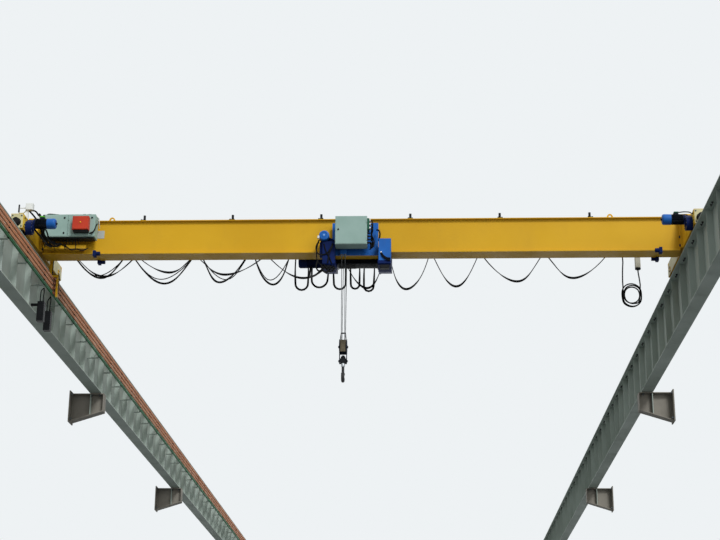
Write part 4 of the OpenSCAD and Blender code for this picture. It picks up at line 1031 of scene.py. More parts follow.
@dataclass
class BridgeElectrics:
    """Cabinet doors, locks, glands, the alarm lamp, the limit switch and the loose wiring."""

    shop: Workshop
    x0: float = -4.688
    left_w: float = 0.374
    gap: float = 0.003
    right_w: float = 0.408
    front: float = -0.405
    low: float = 0.187
    high: float = 0.536

    def build(self) -> None:
        """Dresses the electrical nodes and adds their details."""
        self.shop.paint.dress(self.shop.frame, {
            "control_cabinets": "cabinet powder coat", "cabinet_brackets": "girder yellow enamel",
            "alarm_box": "signal red enamel", "limit_switch": "off-white enamel",
            "collector_arm": "truck yellow enamel", "collector_shoes": "carbon shoe copper"})
        self.doors()
        self.alarm()
        self.glands()
        self.wiring()
        self.switch()
        self.collector()

    def doors(self) -> None:
        """A raised door on each cabinet with a black lock at its top and bottom, and two hinges."""
        spans = [(self.x0, self.x0 + self.left_w),
                 (self.x0 + self.left_w + self.gap, self.x0 + self.left_w + self.gap + self.right_w)]
        doors, locks, hinges = [], [], []
        lock = turned_part([(0, 0.014), (0.008, 0.014), (0.011, 0.010)], 16).turned(Facing.FRONT)
        hinge = turned_part([(-0.028, 0.007), (0.028, 0.007)], 10)
        for lo, hi in spans:
            doors.append(slab((lo + 0.008, hi - 0.008), (self.front - 0.004, self.front),
                              (self.low + 0.008, self.high - 0.008)))
            locks.append(lock.at_each(grid([hi - 0.05], [self.front - 0.004],
                                           [self.low + 0.055, self.high - 0.055])))
            hinges.append(hinge.at_each(grid([lo + 0.008], [self.front - 0.004],
                                             [self.low + 0.07, self.high - 0.07])))
        self.shop.make("cabinet_doors", on_bridge(joined(*doors)), "cabinet powder coat", Body.BRIDGE,
                       "cabinet_paint", bevel=0.003)
        self.shop.make("cabinet_locks", on_bridge(joined(*locks)), "black bakelite", Body.BRIDGE,
                       "black_steel")
        self.shop.make("cabinet_hinges", on_bridge(joined(*hinges)), "cabinet powder coat", Body.BRIDGE,
                       "cabinet_paint")

    def alarm(self) -> None:
        """The alarm box's raised lid, its amber lamp, corner screws and dark sounder below."""
        x, y, z = (-4.221, -3.981), -0.505, (0.264, 0.472)
        lid = slab((x[0] + 0.006, x[1] - 0.006), (y - 0.006, y), (z[0] + 0.006, z[1] - 0.006))
        self.shop.make("alarm_lid", on_bridge(lid), "signal red enamel", Body.BRIDGE, "alarm_red",
                       bevel=0.004)
        lamp = turned_part([(0, 0.013), (0.006, 0.012), (0.010, 0.007)], 20).turned(Facing.FRONT)
        self.shop.make("alarm_lamp", on_bridge(lamp.moved((-4.101, y - 0.006, 0.372))), "lamp amber",
                       Body.BRIDGE, "alarm_red")
        screws = turned_part([(0, 0.005), (0.003, 0.005)], 8).turned(Facing.FRONT)
        self.shop.make("alarm_screws", on_bridge(screws.at_each(
            grid([x[0] + 0.02, x[1] - 0.02], [y - 0.006], [z[0] + 0.02, z[1] - 0.02]))),
            "zinc-plated fastener", Body.BRIDGE, "machined_steel")
        base = slab((x[0] + 0.01, x[1] - 0.01), (y + 0.02, y + 0.09), (z[0] - 0.03, z[0]))
        self.shop.make("alarm_sounder", on_bridge(base), "black bakelite", Body.BRIDGE, "black_steel",
                       bevel=0.004)

    def glands(self) -> None:
        """A row of glands under the cabinets, with the short cables that enter the cable bar."""
        xs = self.x0 + 0.3 + 0.045 * np.arange(6)
        gland = turned_part([(0, 0.014), (0.01, 0.014), (0.016, 0.01), (0.026, 0.01)], 12).turned(Facing.DOWN)
        self.shop.make("cabinet_glands", on_bridge(gland.at_each(grid(xs, [-0.29], [self.low - 0.02]))),
                       "black bakelite", Body.BRIDGE, "black_steel")
        leads = [cable([(x, -0.29, 0.145), (x, -0.29, 0.13), (x + 0.004, -0.285, 0.118),
                        (x + 0.01, -0.272, 0.108)],
                       0.005, 6) for x in xs]
        run = cable([(self.x0 + 0.02, -0.268, 0.125), (-4.5, -0.272, 0.125), (-4.36, -0.3, 0.08),
                     (-4.27, -0.29, 0.022),
                     (-4.19, -0.28, 0.034), (-4.12, -0.285, 0.014), (-4.06, -0.275, 0.022),
                     (-4.02, -0.27, 0.05)], 0.009)
        self.shop.make("cabinet_leads", on_bridge(joined(*leads, run)), "cable neoprene", Body.BRIDGE,
                       "cable_sheath")
        tie = slab((-0.006, 0.006), (-0.2925, -0.2475), (0.0375, 0.1115))
        self.shop.make("cable_bar_ties", on_bridge(tie.at_each(grid([-4.52, -4.36, -4.2], [0.0], [0.0]))),
                       "black bakelite", Body.BRIDGE, "black_steel", bevel=0.002)

    def wiring(self) -> None:
        """The loose black cables between the trucks, motors, switch and cabinets, and the hoop on top."""
        runs = [
            ([(-4.53, -0.93, 0.3), (-4.56, -0.86, 0.34), (-4.62, -0.7, 0.3), (-4.64, -0.55, 0.2),
              (-4.6, -0.42, 0.15), (-4.56, -0.32, 0.15)], 0.014),
            ([(-4.58, -0.95, 0.3), (-4.61, -0.92, 0.34), (-4.64, -0.8, 0.27), (-4.62, -0.66, 0.16),
              (-4.6, -0.45, 0.06), (-4.56, -0.32, 0.06)], 0.015),
            ([(-4.73, -0.9, 0.42), (-4.67, -0.84, 0.4), (-4.63, -0.72, 0.3), (-4.6, -0.56, 0.14),
              (-4.57, -0.4, 0.12), (-4.5, -0.33, 0.12)], 0.012),
            ([(-4.78, -0.87, 0.42), (-4.72, -0.82, 0.36), (-4.66, -0.74, 0.28), (-4.57, -0.6, 0.1),
              (-4.5, -0.44, 0.06), (-4.42, -0.33, 0.1)], 0.013),
            ([(-4.67, -0.9, 0.12), (-4.6, -0.86, 0.04), (-4.56, -0.74, 0.0), (-4.58, -0.56, 0.04),
              (-4.63, -0.4, 0.06), (-4.66, -0.3, 0.08)], 0.014),
            ([(-4.6, -0.8, 0.3), (-4.57, -0.74, 0.2), (-4.6, -0.68, 0.08), (-4.64, -0.62, 0.14),
              (-4.6, -0.56, 0.24), (-4.56, -0.5, 0.14)], 0.012),
            ([(-4.64, -0.33, 0.13), (-4.58, -0.33, 0.09), (-4.52, -0.325, 0.062), (-4.46, -0.32, 0.07),
              (-4.41, -0.31, 0.11)], 0.013),
            ([(-4.66, -0.36, 0.536), (-4.62, -0.33, 0.57), (-4.5, -0.31, 0.566), (-4.4, -0.3, 0.556),
              (-4.31, -0.29, 0.536)], 0.010),
            ([(-4.0, -0.45, 0.25), (-3.96, -0.44, 0.22), (-3.91, -0.42, 0.27), (-3.9, -0.37, 0.36),
              (-3.897, -0.3, 0.42)], 0.010),
            ([(4.55, -0.93, 0.29), (4.62, -0.92, 0.305), (4.7, -0.88, 0.325), (4.79, -0.8, 0.34),
              (4.83, -0.7, 0.3),
              (4.83, -0.6, 0.262)], 0.008),
            ([(4.58, -0.9, 0.28), (4.65, -0.86, 0.29), (4.73, -0.8, 0.31), (4.79, -0.72, 0.295),
              (4.8, -0.6, 0.262)],
             0.007),
        ]
        self.shop.make("bridge_wiring", on_bridge(joined(*[cable(p, r) for p, r in runs])),
                       "cable neoprene", Body.BRIDGE, "cable_sheath")
        white = cable([(-4.1, -0.3, 0.536), (-4.04, -0.29, 0.565), (-3.95, -0.27, 0.566),
                       (-3.889, -0.25, 0.53),
                       (-3.886, -0.22, 0.46), (-3.89, -0.16, 0.4)], 0.007)
        self.shop.make("white_lead", on_bridge(white), "white sheath", Body.BRIDGE, "switch_paint")
        gland = turned_part([(0, 0.013), (0.02, 0.013), (0.026, 0.009), (0.04, 0.009)], 12)
        self.shop.make("drive_glands", on_bridge(gland.at_each(
            grid([-4.615, -4.585], [-0.95, -0.91], [0.262]))), "white sheath", Body.BRIDGE, "switch_paint")
        panels = [slab((s * 4.757 - 0.0025, s * 4.757 + 0.0025), (-1.185, -1.108),
                       (0.07, 0.235)) for s in (-1, 1)]
        self.shop.make("drive_brackets", on_bridge(joined(*panels)), "pale bracket yellow", Body.BRIDGE,
                       "yellow_paint", bevel=0.002)
        ring = np.array([(0.3, 0.036), (1.19, 0.036), (1.19, 0.14), (1.06, 0.244), (0.3, 0.244)])
        covers = [loft(np.stack([np.column_stack([np.full(5, x), ring]) for x in sorted((s * 4.7595,
                s * 4.7555))]))
                  for s in (-1, 1)]
        self.shop.make("truck_cover_sheets", on_bridge(joined(*covers)), "cream cap enamel", Body.BRIDGE,
                       "yellow_paint")
        head = hex_bolt(0.02, 0.012)
        self.shop.make("drive_bracket_bolts", on_bridge(joined(
            head.turned(Facing.RIGHT).at_each(grid([-4.7545], [-1.147], [0.1, 0.2])),
            head.turned(Facing.LEFT).at_each(grid([4.7545], [-1.147], [0.1, 0.2])))),
            "blackened fastener", Body.BRIDGE, "machined_steel")
        bits = [slab((x, x + 0.045), (-0.38, -0.34), (0.536, 0.55)) for x in (-4.1, -4.02)]
        strip = slab((self.x0 + 0.01, self.x0 + 0.76), (-0.37, -0.23), (self.low - 0.02, self.low))
        self.shop.make("cabinet_top_clips", on_bridge(joined(*bits, strip)), "black bakelite", Body.BRIDGE,
                       "black_steel", bevel=0.003)

    def switch(self) -> None:
        """Black sleeve on the limit switch's lever, the pale link from it to the box, and the box's lid."""
        lever = turned_part([(0.384, 0.0114), (0.501, 0.0114)], 20).moved((-4.92, -0.9, 0.0))
        self.shop.make("limit_switch_lever", on_bridge(lever), "black enamel", Body.BRIDGE, "black_steel")
        link = cable([(-4.92, -0.9, 0.392), (-4.912, -0.9, 0.374), (-4.88, -0.9, 0.369), (-4.84, -0.9, 0.378),
                      (-4.812, -0.9, 0.415)], 0.007)
        self.shop.make("limit_switch_link", on_bridge(link), "cream cap enamel", Body.BRIDGE, "switch_paint")
        lid = slab((-4.811, -4.714), (-0.944, -0.94), (0.414, 0.506))
        self.shop.make("limit_switch_lid", on_bridge(lid), "off-white enamel", Body.BRIDGE, "switch_paint",
                       bevel=0.002)

    def collector(self) -> None:
        """Leads of the four current collectors, from each shoe over to the arm and up along it."""
        leads = []
        for i in range(4):
            z = -0.265 - 0.075 * i
            leads.append(cable([(-4.6, 0.3, z), (-4.585, 0.317, z + 0.004), (-4.556, 0.306, z + 0.02),
                                (-4.557, 0.29, z + 0.05), (-4.558, 0.27 + 0.008 * i, -0.2),
                                (-4.6, 0.27 + 0.008 * i, -0.183), (-4.656, 0.27 + 0.008 * i, -0.182),
                                (-4.662, 0.27 + 0.008 * i, -0.1), (-4.662, 0.27 + 0.008 * i, 0.05)], 0.005,
                                6))
        self.shop.make("collector_leads", on_bridge(joined(*leads)), "cable neoprene", Body.BRIDGE,
                       "cable_sheath")


PENDANT_XS = (-4.45, -3.48, -2.57, -1.47, -0.3, 0.4, 1.075, 1.83, 2.81, 3.8)
PENDANT_SAGS = (0.31, 0.25, 0.29, 0.352, 0.52, 0.54, 0.5, 0.425, 0.375)
HOIST_XS = (-4.48, -3.575, -2.51, -1.69, -1.04, -0.77, -0.455, -0.195, 0.02, 0.25)
HOIST_SAGS = (0.375, 0.47, 0.455, 0.495, 0.585, 0.545, 0.575, 0.57, 0.61)


@dataclass
class Festoon:
    """The two cable lines behind the girder: their loops, carriers and tracks."""

    shop: Workshop
    top: float = 0.2547
    inset: float = 0.03
    pendant_y: float = 0.74
    hoist_y: float = 0.62

    def build(self) -> None:
        """Dresses the tracks and arms, and replaces the plain loops and carriers."""
        self.shop.paint.dress(self.shop.frame, {
            "festoon_arms": "black enamel", "festoon_tracks": "galvanised track zinc"})
        self.line("pendant_line", PENDANT_XS, PENDANT_SAGS, self.pendant_y, False)
        self.line("hoist_line", HOIST_XS, HOIST_SAGS, self.hoist_y, True)
        self.arm_bolts()

    def loop(self, x: Span, y: float, sag: float, skew: float, half: Span, twist: float) -> Shape:
        """One hanging loop: a half wave when it is shallow, two straight sides and a half circle when deep.

        The half wave is (a (2t/pi - 1), -b sin t) and the deep loop drops straight for b - a and
        then rounds a half circle of radius a. Both are mixed by how deep the loop is for its width,
        and the bottom leans to one side by skew times a sin^2 t.

        Args:
            x: where its two ends hang.
            y: how far behind the girder it hangs.
            sag: how far its lowest point is below its ends.
            skew: how far the lowest point leans, as a share of the half width.
            half: half the cable's width and thickness.
            twist: how far the cable turns over at the bottom, in radians.

        Returns:
            The closed cable.
        """
        t = np.linspace(0, np.pi, 33)
        a = (x[1] - x[0]) / 2
        drop = max(sag - a, 0.0)
        run = t / np.pi * (2 * drop + np.pi * a)
        bend = np.clip((run - drop) / a, 0, np.pi)
        deep_x = -a * np.cos(bend) * (1 + 0.12 * np.sin(np.pi * np.clip(np.minimum(run, run[::-1]) / sag, 0,
                1)))
        deep_z = -np.minimum(np.minimum(run, run[::-1]), drop) - a * np.sin(bend)
        depth = min(max((sag / (2 * a) - 0.7) / 1.1, 0.0), 1.0)
        along = ((x[0] + x[1]) / 2 + depth * deep_x + (1 - depth) * a * (2 * t / np.pi - 1)
                 + skew * a * np.sin(t) ** 2)
        path = np.column_stack([along, np.full_like(t, y),
                                self.top + depth * deep_z - (1 - depth) * sag * np.sin(t)])
        turn = twist * np.sin(t) ** 4
        run = np.gradient(path, axis=0)
        run /= np.linalg.norm(run, axis=1, keepdims=True)
        level = np.tile([0.0, 1.0, 0.0], (len(t), 1))
        lift = np.cross(run, level)
        across = np.cos(turn)[:, None] * level + np.sin(turn)[:, None] * lift
        return swept(path, across, half, 8, 0.7)

    def line(self, name: str, xs: tuple[float, ...], sags: tuple[float, ...], y: float,
             follows: bool) -> None:
        """One cable line: its loops, its carriers, and what each replaces.

        Args:
            name: start of the names of its pieces.
            xs: the carriers' places along the girder.
            sags: the depth of each loop.
            y: how far behind the girder the line hangs.
            follows: whether this is the line out to the trolley, whose pieces are left on no body.
        """
        skews = 0.16 * np.sin(np.arange(len(sags)) * 2.1 + (0.6 if follows else 0.0))
        width = (0.017, 0.0105) if follows else (0.02, 0.0066)
        inset = self.inset * (1.5 if follows else 1.0)
        loops = [self.loop((xs[i] + inset, xs[i + 1] - inset), y, sags[i], skews[i], width, 1.45)
                 for i in range(len(sags))]
        if follows:
            loops += [self.loop((xs[i] + 0.03, xs[i + 1] - 0.03), y + 0.004, sags[i] * (0.9 - 0.05 * (i % 2)),
                                -skews[i] * 0.6, (0.0075, 0.0075), 0.0) for i in range(len(sags))
                      if sags[i] < 0.8 * (xs[i + 1] - xs[i])]
        body = None if follows else Body.BRIDGE
        cables = self.shop.make(f"{name}_cable_loops", on_bridge(joined(*loops)), "cable neoprene",
                                body, "cable_sheath", angle=60)
        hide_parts(f"{name}_cable")
        hanger = self.carrier()
        places = list(xs) + ([] if follows else [4.0])
        hangers = self.shop.make(f"{name}_hangers", on_bridge(hanger.at_each(grid(places, [y], [0.0]))),
                                 "black bakelite", body, "black_steel")
        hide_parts(f"{name}_carriers")
        if follows:
            for piece in (cables, hangers):
                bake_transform(piece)

    def carrier(self) -> Shape:
        """One cable carrier: side cheeks, a round saddle, a clamp plate and two small wheels.

        Returns:
            The carrier about its own middle.
        """
        cheek = slab((-0.026, 0.026), (-0.017, -0.013), (0.262, 0.2995))
        other = slab((-0.026, 0.026), (0.013, 0.017), (0.262, 0.2995))
        bar = slab((-0.028, 0.028), (-0.014, 0.014), (0.268, 0.28))
        half = np.linspace(0, np.pi, 9)
        outline = [(0.03 * float(np.cos(a)), -0.014 * float(np.sin(a))) for a in half][::-1]
        saddle = plate([(x, z) for x, z in outline],
                       (-0.016, 0.016)).turned(Facing.FRONT).moved((0, 0, 0.2695))
        wheels = turned_part([(-0.017, 0.008), (0.017, 0.008)], 10).turned(Facing.BACK)
        return joined(cheek, other, bar, saddle, wheels.at_each(grid([-0.016, 0.016], [0.0], [0.2905])))

    def arm_bolts(self) -> None:
        """Clamp bolts on the arms' base plates, with nuts, and the knobs that cap their posts."""
        xs = -3.24 + 1.335 * np.arange(6)
        spots = [x + s * 0.028 for x in xs for s in (-1, 1)]
        nuts = nut_on_stud(0.019, 0.012, 0.008)
        self.shop.make("festoon_arm_bolts", on_bridge(nuts.at_each(grid(spots, [-0.12, 0.12], [0.54]))),
                       "blackened fastener", Body.BRIDGE, "machined_steel")
        straps = slab((-0.024, 0.024), (-0.024, 0.0), (0.0, 0.006))
        self.shop.make("track_hangers", on_bridge(straps.at_each(
            grid(xs, [self.hoist_y + 0.012, self.pendant_y + 0.012], [0.3755]))),
            "zinc-plated fastener", Body.BRIDGE, "track_steel")


@dataclass
class Pendant:
    """The stowed push-button station and its coiled cable."""

    shop: Workshop
    x: float = 4.225
    y: float = 0.74
    low: float = 0.032
    high: float = 0.262
    cord: float = 0.02

    def build(self) -> None:
        self.station()
        self.lead()

    def station(self) -> None:
        """Rounded housing with its buttons on the far side, a wide black flange and a gland below it."""
        mid = (self.low + self.high) / 2
        flat = rounded(0.08, self.high - self.low, 0.016)
        body = plate(flat, (-0.034, 0.034)).turned(Facing.FRONT).moved((self.x, self.y, mid))
        shell = self.shop.make("pendant_housing", on_bridge(body), "pendant grey plastic", Body.BRIDGE,
                               "station_plastic", bevel=0.006)
        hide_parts("pendant_station")
        buttons = turned_part([(0, 0.012), (0.003, 0.012), (0.004, 0.0095), (0.009, 0.009)],
                              16).turned(Facing.BACK)
        spots = grid([self.x - 0.018, self.x + 0.018], [self.y + 0.034],
                     mid + np.array([-0.075, -0.03, 0.015]))
        self.shop.make("pendant_buttons", on_bridge(buttons.at_each(spots)), "black bakelite", Body.BRIDGE,
                       "black_steel")
        stop = turned_part([(0, 0.009), (0.010, 0.009), (0.012, 0.017), (0.020, 0.016)],
                           20).turned(Facing.BACK)
        self.shop.make("pendant_stop_button", on_bridge(stop.moved((self.x, self.y + 0.034, mid + 0.075))),
                       "button red plastic", Body.BRIDGE, "alarm_red")
        gland = turned_part([(0, 0.017), (0.009, 0.017), (0.0095, 0.04), (0.013, 0.044), (0.0318, 0.044)], 28)
        strap = slab((-0.02, 0.02), (-0.006, 0.006), (self.high - 0.002, 0.2995))
        self.shop.make("pendant_gland", on_bridge(joined(gland, strap).moved((self.x, self.y, 0.0))),
                       "black bakelite", Body.BRIDGE, "black_steel")

    def lead(self) -> None:
        """The cable: down from its track, three and a half turns of a loose oval coil, and up to the gland.

        On the coil the point at angle a is the centre plus (r cos a, r sin a), drawn apart into two
        half circles one above the other. The radius and that height grow in the first turns and
        shrink in the last ones, so that the turns lie beside and inside each other.
        """
        down = [(4.0, 0.74, 0.2547), (4.0, 0.74, 0.2), (4.002, 0.74, 0.13), (3.996, 0.74, 0.06),
                (3.99, 0.74, -0.02), (3.986, 0.74, -0.11), (3.984, 0.74, -0.19), (3.985, 0.74, -0.261)]
        up = [(4.245, 0.74, -0.26), (4.244, 0.74, -0.21), (4.24, 0.74, -0.16), (4.234, 0.74, -0.105),
              (4.228, 0.74, -0.06), (4.225, 0.74, -0.025), (4.225, 0.74, 0.0)]
        turns = 3.5
        count = int(turns * 20)
        share = np.linspace(0, 1, count)
        angle = np.pi + share * turns * 2 * np.pi
        wide = np.sin(2 * np.pi * share)
        radius = 0.131 + 0.019 * wide
        x = 4.115 + radius * np.cos(angle)
        tall = np.where(np.sin(angle) > 0, 1.0, -1.0) * np.minimum(1, np.abs(np.sin(angle)) * 3)
        z = -0.4 + radius * np.sin(angle) + (0.024 + 0.014 * wide) * tall
        y = 0.74 + 0.022 * np.cos(share * np.pi)
        coil = [tuple(map(float, p)) for p in np.column_stack([x, y, z])][1:-1:2]
        points = np.array(down + coil + up)
        path = smooth_path(points, 4) + DATUM
        lean = np.tile([0.05, 1.0, 0.08], (len(path), 1))
        run = self.shop.make("pendant_cord", swept(path, lean, (self.cord / 2, self.cord / 2), 10),
                             "cord neoprene", Body.BRIDGE, "cable_sheath", angle=60)
        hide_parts("pendant_cable", "pendant_coil")


@dataclass
class Trolley:
    """The trolley: side plates, cross frames, drive, counterweight and hoist cabinet."""

    shop: Workshop
    cab_x: Span = (-0.331, 0.135)
    cab_y: Span = (-0.5, -0.28)
    cab_z: Span = (0.008, 0.443)
    drive_x: float = -0.497
    drive_z: float = 0.171

    def build(self) -> None:
        """Dresses the trolley's nodes and adds its details."""
        self.shop.paint.dress(self.shop.frame, {
            "trolley_front_plate": "hoist blue enamel", "trolley_rear_plate": "motor dark enamel",
            "cross_frame_left": "casting navy enamel", "cross_frame_right": "casting navy enamel",
            "trolley_wheels": "turned wheel steel", "counterweight": "hoist blue enamel",
            "hoist_cabinet": "cabinet powder coat", "tow_arm": "casting navy enamel"})
        self.cabinet()
        self.drive()
        self.plates()
        self.wiring()

    def cabinet(self) -> None:
        """The hoist cabinet's raised door, its black lock, hinges and the glands on its right side."""
        x, y, z = self.cab_x, self.cab_y, self.cab_z
        door = slab((x[0] + 0.008, x[1] - 0.008), (y[0] - 0.004, y[0]), (z[0] + 0.008, z[1] - 0.008))
        self.shop.make("hoist_cabinet_door", on_bridge(door), "cabinet powder coat", Body.TROLLEY,
                       "cabinet_paint", bevel=0.003)
        lock = turned_part([(0, 0.013), (0.008, 0.013), (0.011, 0.009)], 16).turned(Facing.FRONT)
        self.shop.make("hoist_cabinet_lock", on_bridge(lock.moved((x[0] + 0.045, y[0] - 0.004, 0.235))),
                       "black bakelite", Body.TROLLEY, "black_steel")
        hinge = turned_part([(-0.028, 0.007), (0.028, 0.007)], 10)
        self.shop.make("hoist_cabinet_hinges", on_bridge(hinge.at_each(
            grid([x[1] - 0.008], [y[0] - 0.004], [z[0] + 0.08, z[1] - 0.08]))),
            "cabinet powder coat", Body.TROLLEY, "cabinet_paint")
        gland = turned_part([(0, 0.018), (0.016, 0.018), (0.022, 0.012), (0.034, 0.012)],
                            12).turned(Facing.RIGHT)
        zs = [0.06, 0.11, 0.16, 0.21]
        self.shop.make("hoist_cabinet_glands", on_bridge(gland.at_each(grid([x[1]], [-0.4], zs))),
                       "black bakelite", Body.TROLLEY, "black_steel")
        plug = slab((x[1], x[1] + 0.03), (-0.46, -0.33), (0.25, 0.425))
        self.shop.make("hoist_connector", on_bridge(plug), "terminal green enamel", Body.TROLLEY,
                       "blue_paint", bevel=0.006)
        pins = [slab((x[1] + 0.03, x[1] + 0.05), (-0.44, -0.36), (z, z + 0.026)) for z in (0.27, 0.33, 0.39)]
        pins.append(slab((0.328, 0.35), (-0.413, -0.4), (-0.1, -0.078)))
        self.shop.make("hoist_connector_hoods", on_bridge(joined(*pins)), "white sheath", Body.TROLLEY,
                       "switch_paint", bevel=0.004)

    def drive(self) -> None:
        """The travel motor in front of its gear case: fins, domed fan cover with rings, terminal box."""
        start = -0.229
        body = turned_part([(0, 0.06), (0.01, 0.067), (0.11, 0.067), (0.12, 0.07)], 32)
        ribs = ringed(slab((-0.0014, 0.0014), (0.06, 0.0735), (0.014, 0.118)), 22)
        place = (self.drive_x, start, self.drive_z)
        motor = self.shop.make("trolley_motor",
                               on_bridge(joined(body, ribs).turned(Facing.FRONT).moved(place)),
                               "motor dark enamel", Body.TROLLEY, "blue_paint")
        cover = turned_part([(0.118, 0.072), (0.126, 0.075), (0.2, 0.075), (0.213, 0.07), (0.218, 0.058),
                             (0.2185, 0.046), (0.214, 0.044), (0.214, 0.036), (0.2185, 0.034)], 40)
        self.shop.make("trolley_fan_cover", on_bridge(cover.turned(Facing.FRONT).moved(place)),
                       "hoist blue enamel", Body.TROLLEY, "blue_paint")
        hub = turned_part([(0.213, 0.017), (0.2205, 0.014)], 28)
        self.shop.make("trolley_fan_hub", on_bridge(hub.turned(Facing.FRONT).moved(place)),
                       "fan badge blue", Body.TROLLEY, "blue_paint")
        self.shop.make("trolley_gear_case", on_bridge(self.gear_case()), "casting navy enamel", Body.TROLLEY,
                       "navy_paint", bevel=0.003)
        column = slab((-0.566, -0.5), (-0.34, -0.24), (-0.13, 0.1))
        self.shop.make("drive_column", on_bridge(column), "casting navy enamel", Body.TROLLEY, "navy_paint",
                       bevel=0.012)
        box = slab((self.drive_x - 0.098, self.drive_x - 0.068), (start - 0.216, start - 0.182),
                   (self.drive_z - 0.05, self.drive_z - 0.01))
        self.shop.make("trolley_terminal_box", on_bridge(box), "off-white enamel", Body.TROLLEY,
                       "switch_paint",
                       bevel=0.004)
        gland = turned_part([(0, 0.012), (0.014, 0.012), (0.02, 0.008), (0.032, 0.008)],
                            12).turned(Facing.DOWN)
        self.shop.make("trolley_drive_gland", on_bridge(gland.moved(
            (self.drive_x - 0.083, start - 0.12, self.drive_z - 0.05))), "black bakelite", Body.TROLLEY,
            "black_steel")
        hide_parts("trolley_drive")

    def gear_case(self) -> Shape:
        """A flat case round the motor shaft and the wheel shaft: the outer line of two circles.

        Returns:
            The case in the bridge's own place.
        """
        wheel = np.array([-0.2895, 0.0803])
        motor = np.array([self.drive_x, self.drive_z])
        lean = math.atan2(*(wheel - motor)[::-1])
        a = lean + np.pi / 2 + np.linspace(0, np.pi, 15)
        b = lean - np.pi / 2 + np.linspace(0, np.pi, 15)
        ring = np.concatenate([motor + 0.066 * np.column_stack([np.cos(a), np.sin(a)]),
                               wheel + 0.05 * np.column_stack([np.cos(b), np.sin(b)])])
        outline = [(float(x), float(z)) for x, z in ring]
        return plate(outline, (0.1955, 0.229)).turned(Facing.FRONT)

    def plates(self) -> None:
        """Bolts on the side plates, nuts on the axle ends, and the overload switch under the right frame."""
        head = hex_bolt(0.024, 0.013)
        self.shop.make("trolley_plate_bolts", on_bridge(joined(
            head.turned(Facing.BACK).at_each(grid([-0.36, 0.26], [0.195], [-0.02, 0.2])))),
            "blackened fastener", Body.TROLLEY, "machined_steel")
        ends = nut_on_stud(0.036, 0.02, 0.01)
        self.shop.make("trolley_axle_nuts", on_bridge(joined(
            ends.turned(Facing.BACK).at_each(grid([-0.2895, 0.1905], [0.195], [0.0803])),
            ends.turned(Facing.FRONT).at_each(grid([0.1905], [-0.195], [0.0803])))),
            "zinc-plated fastener", Body.TROLLEY, "machined_steel")
        switch = slab((0.325, 0.455), (-0.398, -0.31), (-0.33, -0.2762))
        self.shop.make("overload_switch", on_bridge(switch), "black bakelite", Body.TROLLEY, "black_steel",
                       bevel=0.006)

    def wiring(self) -> None:
        """The cables that hang from the cabinet's side, the drive and the right frame."""
        runs = []
        for i, z in enumerate((0.06, 0.11, 0.16, 0.21)):
            out = 0.03 + 0.012 * (i % 3)
            runs.append(([(0.169, -0.4, z), (0.18 + out * 0.5, -0.41, z - 0.01),
                          (0.18 + out, -0.4 + 0.01 * i, z - 0.07),
                          (0.185 + out * 0.5, -0.36, -0.01 + 0.01 * i),
                          (0.17, -0.28, 0.0)], 0.009))
        for i, z in enumerate((0.283, 0.343, 0.403)):
            runs.append(([(0.184, -0.4, z), (0.203, -0.405, z - 0.002), (0.216, -0.4, z - 0.03 - 0.02 * i),
                          (0.2, -0.37, z - 0.09), (0.19, -0.3, 0.12 + 0.03 * i)], 0.009))
        runs += [
            ([(0.21, -0.38, 0.16), (0.235, -0.4, 0.08), (0.225, -0.41, 0.0), (0.19, -0.4, 0.01),
              (0.18, -0.37, 0.08)], 0.011),
            ([(0.27, -0.26, 0.31), (0.3, -0.3, 0.29), (0.318, -0.32, 0.24), (0.314, -0.31, 0.18),
              (0.296, -0.28, 0.13)], 0.012),
            ([(0.335, -0.385, -0.098), (0.345, -0.412, -0.106), (0.37, -0.415, -0.143), (0.42, -0.416, -0.18),
              (0.476, -0.412, -0.188)], 0.013),
            ([(0.34, -0.385, -0.115), (0.35, -0.41, -0.128), (0.38, -0.414, -0.17), (0.43, -0.414, -0.205),
              (0.476, -0.41, -0.215)], 0.012),
            ([(-0.58, -0.349, 0.09), (-0.6, -0.35, 0.04), (-0.61, -0.35, -0.06), (-0.6, -0.36, -0.18),
              (-0.56, -0.37, -0.25), (-0.5, -0.38, -0.27)], 0.009),
            ([(-0.573, -0.3, 0.15), (-0.62, -0.31, 0.04), (-0.6, -0.34, -0.07), (-0.53, -0.4, -0.12),
              (-0.45, -0.408, -0.1), (-0.4, -0.408, -0.02), (-0.37, -0.404, 0.05)], 0.010),
            ([(-0.74, 0.3, -0.07), (-0.74, 0.1, -0.27), (-0.69, -0.14, -0.37), (-0.61, -0.32, -0.4),
              (-0.53, -0.38, -0.35), (-0.47, -0.38, -0.28)], 0.015),
            ([(-0.59, -0.36, -0.2), (-0.61, -0.37, -0.29), (-0.58, -0.38, -0.36), (-0.53, -0.38, -0.35),
              (-0.5, -0.37, -0.27)], 0.012),
            ([(-0.53, -0.38, -0.27), (-0.52, -0.39, -0.35), (-0.47, -0.39, -0.39), (-0.42, -0.38, -0.36),
              (-0.4, -0.36, -0.27)], 0.013),
            ([(-0.47, -0.35, -0.27), (-0.45, -0.36, -0.34), (-0.4, -0.36, -0.37), (-0.36, -0.34, -0.34),
              (-0.345, -0.3, -0.28)], 0.011),
            ([(-0.5, -0.39, -0.27), (-0.44, -0.4, -0.33), (-0.38, -0.39, -0.34), (-0.35, -0.37, -0.3)],
             0.010),
            ([(-0.44, -0.409, -0.25), (-0.42, -0.41, -0.12), (-0.38, -0.406, 0.0), (-0.35, -0.37, 0.08),
              (-0.331, -0.36, 0.1)], 0.010),
            ([(-0.5, -0.405, 0.05), (-0.47, -0.409, -0.06), (-0.42, -0.409, -0.16), (-0.38, -0.404, -0.26)],
             0.009),
            ([(-0.51, -0.38, -0.27), (-0.46, -0.36, -0.294), (-0.4, -0.34, -0.3), (-0.35, -0.3, -0.29)],
             0.013),
            ([(-0.5, -0.3, -0.29), (-0.44, -0.32, -0.31), (-0.38, -0.28, -0.3), (-0.34, -0.22, -0.28)],
             0.011),
        ]
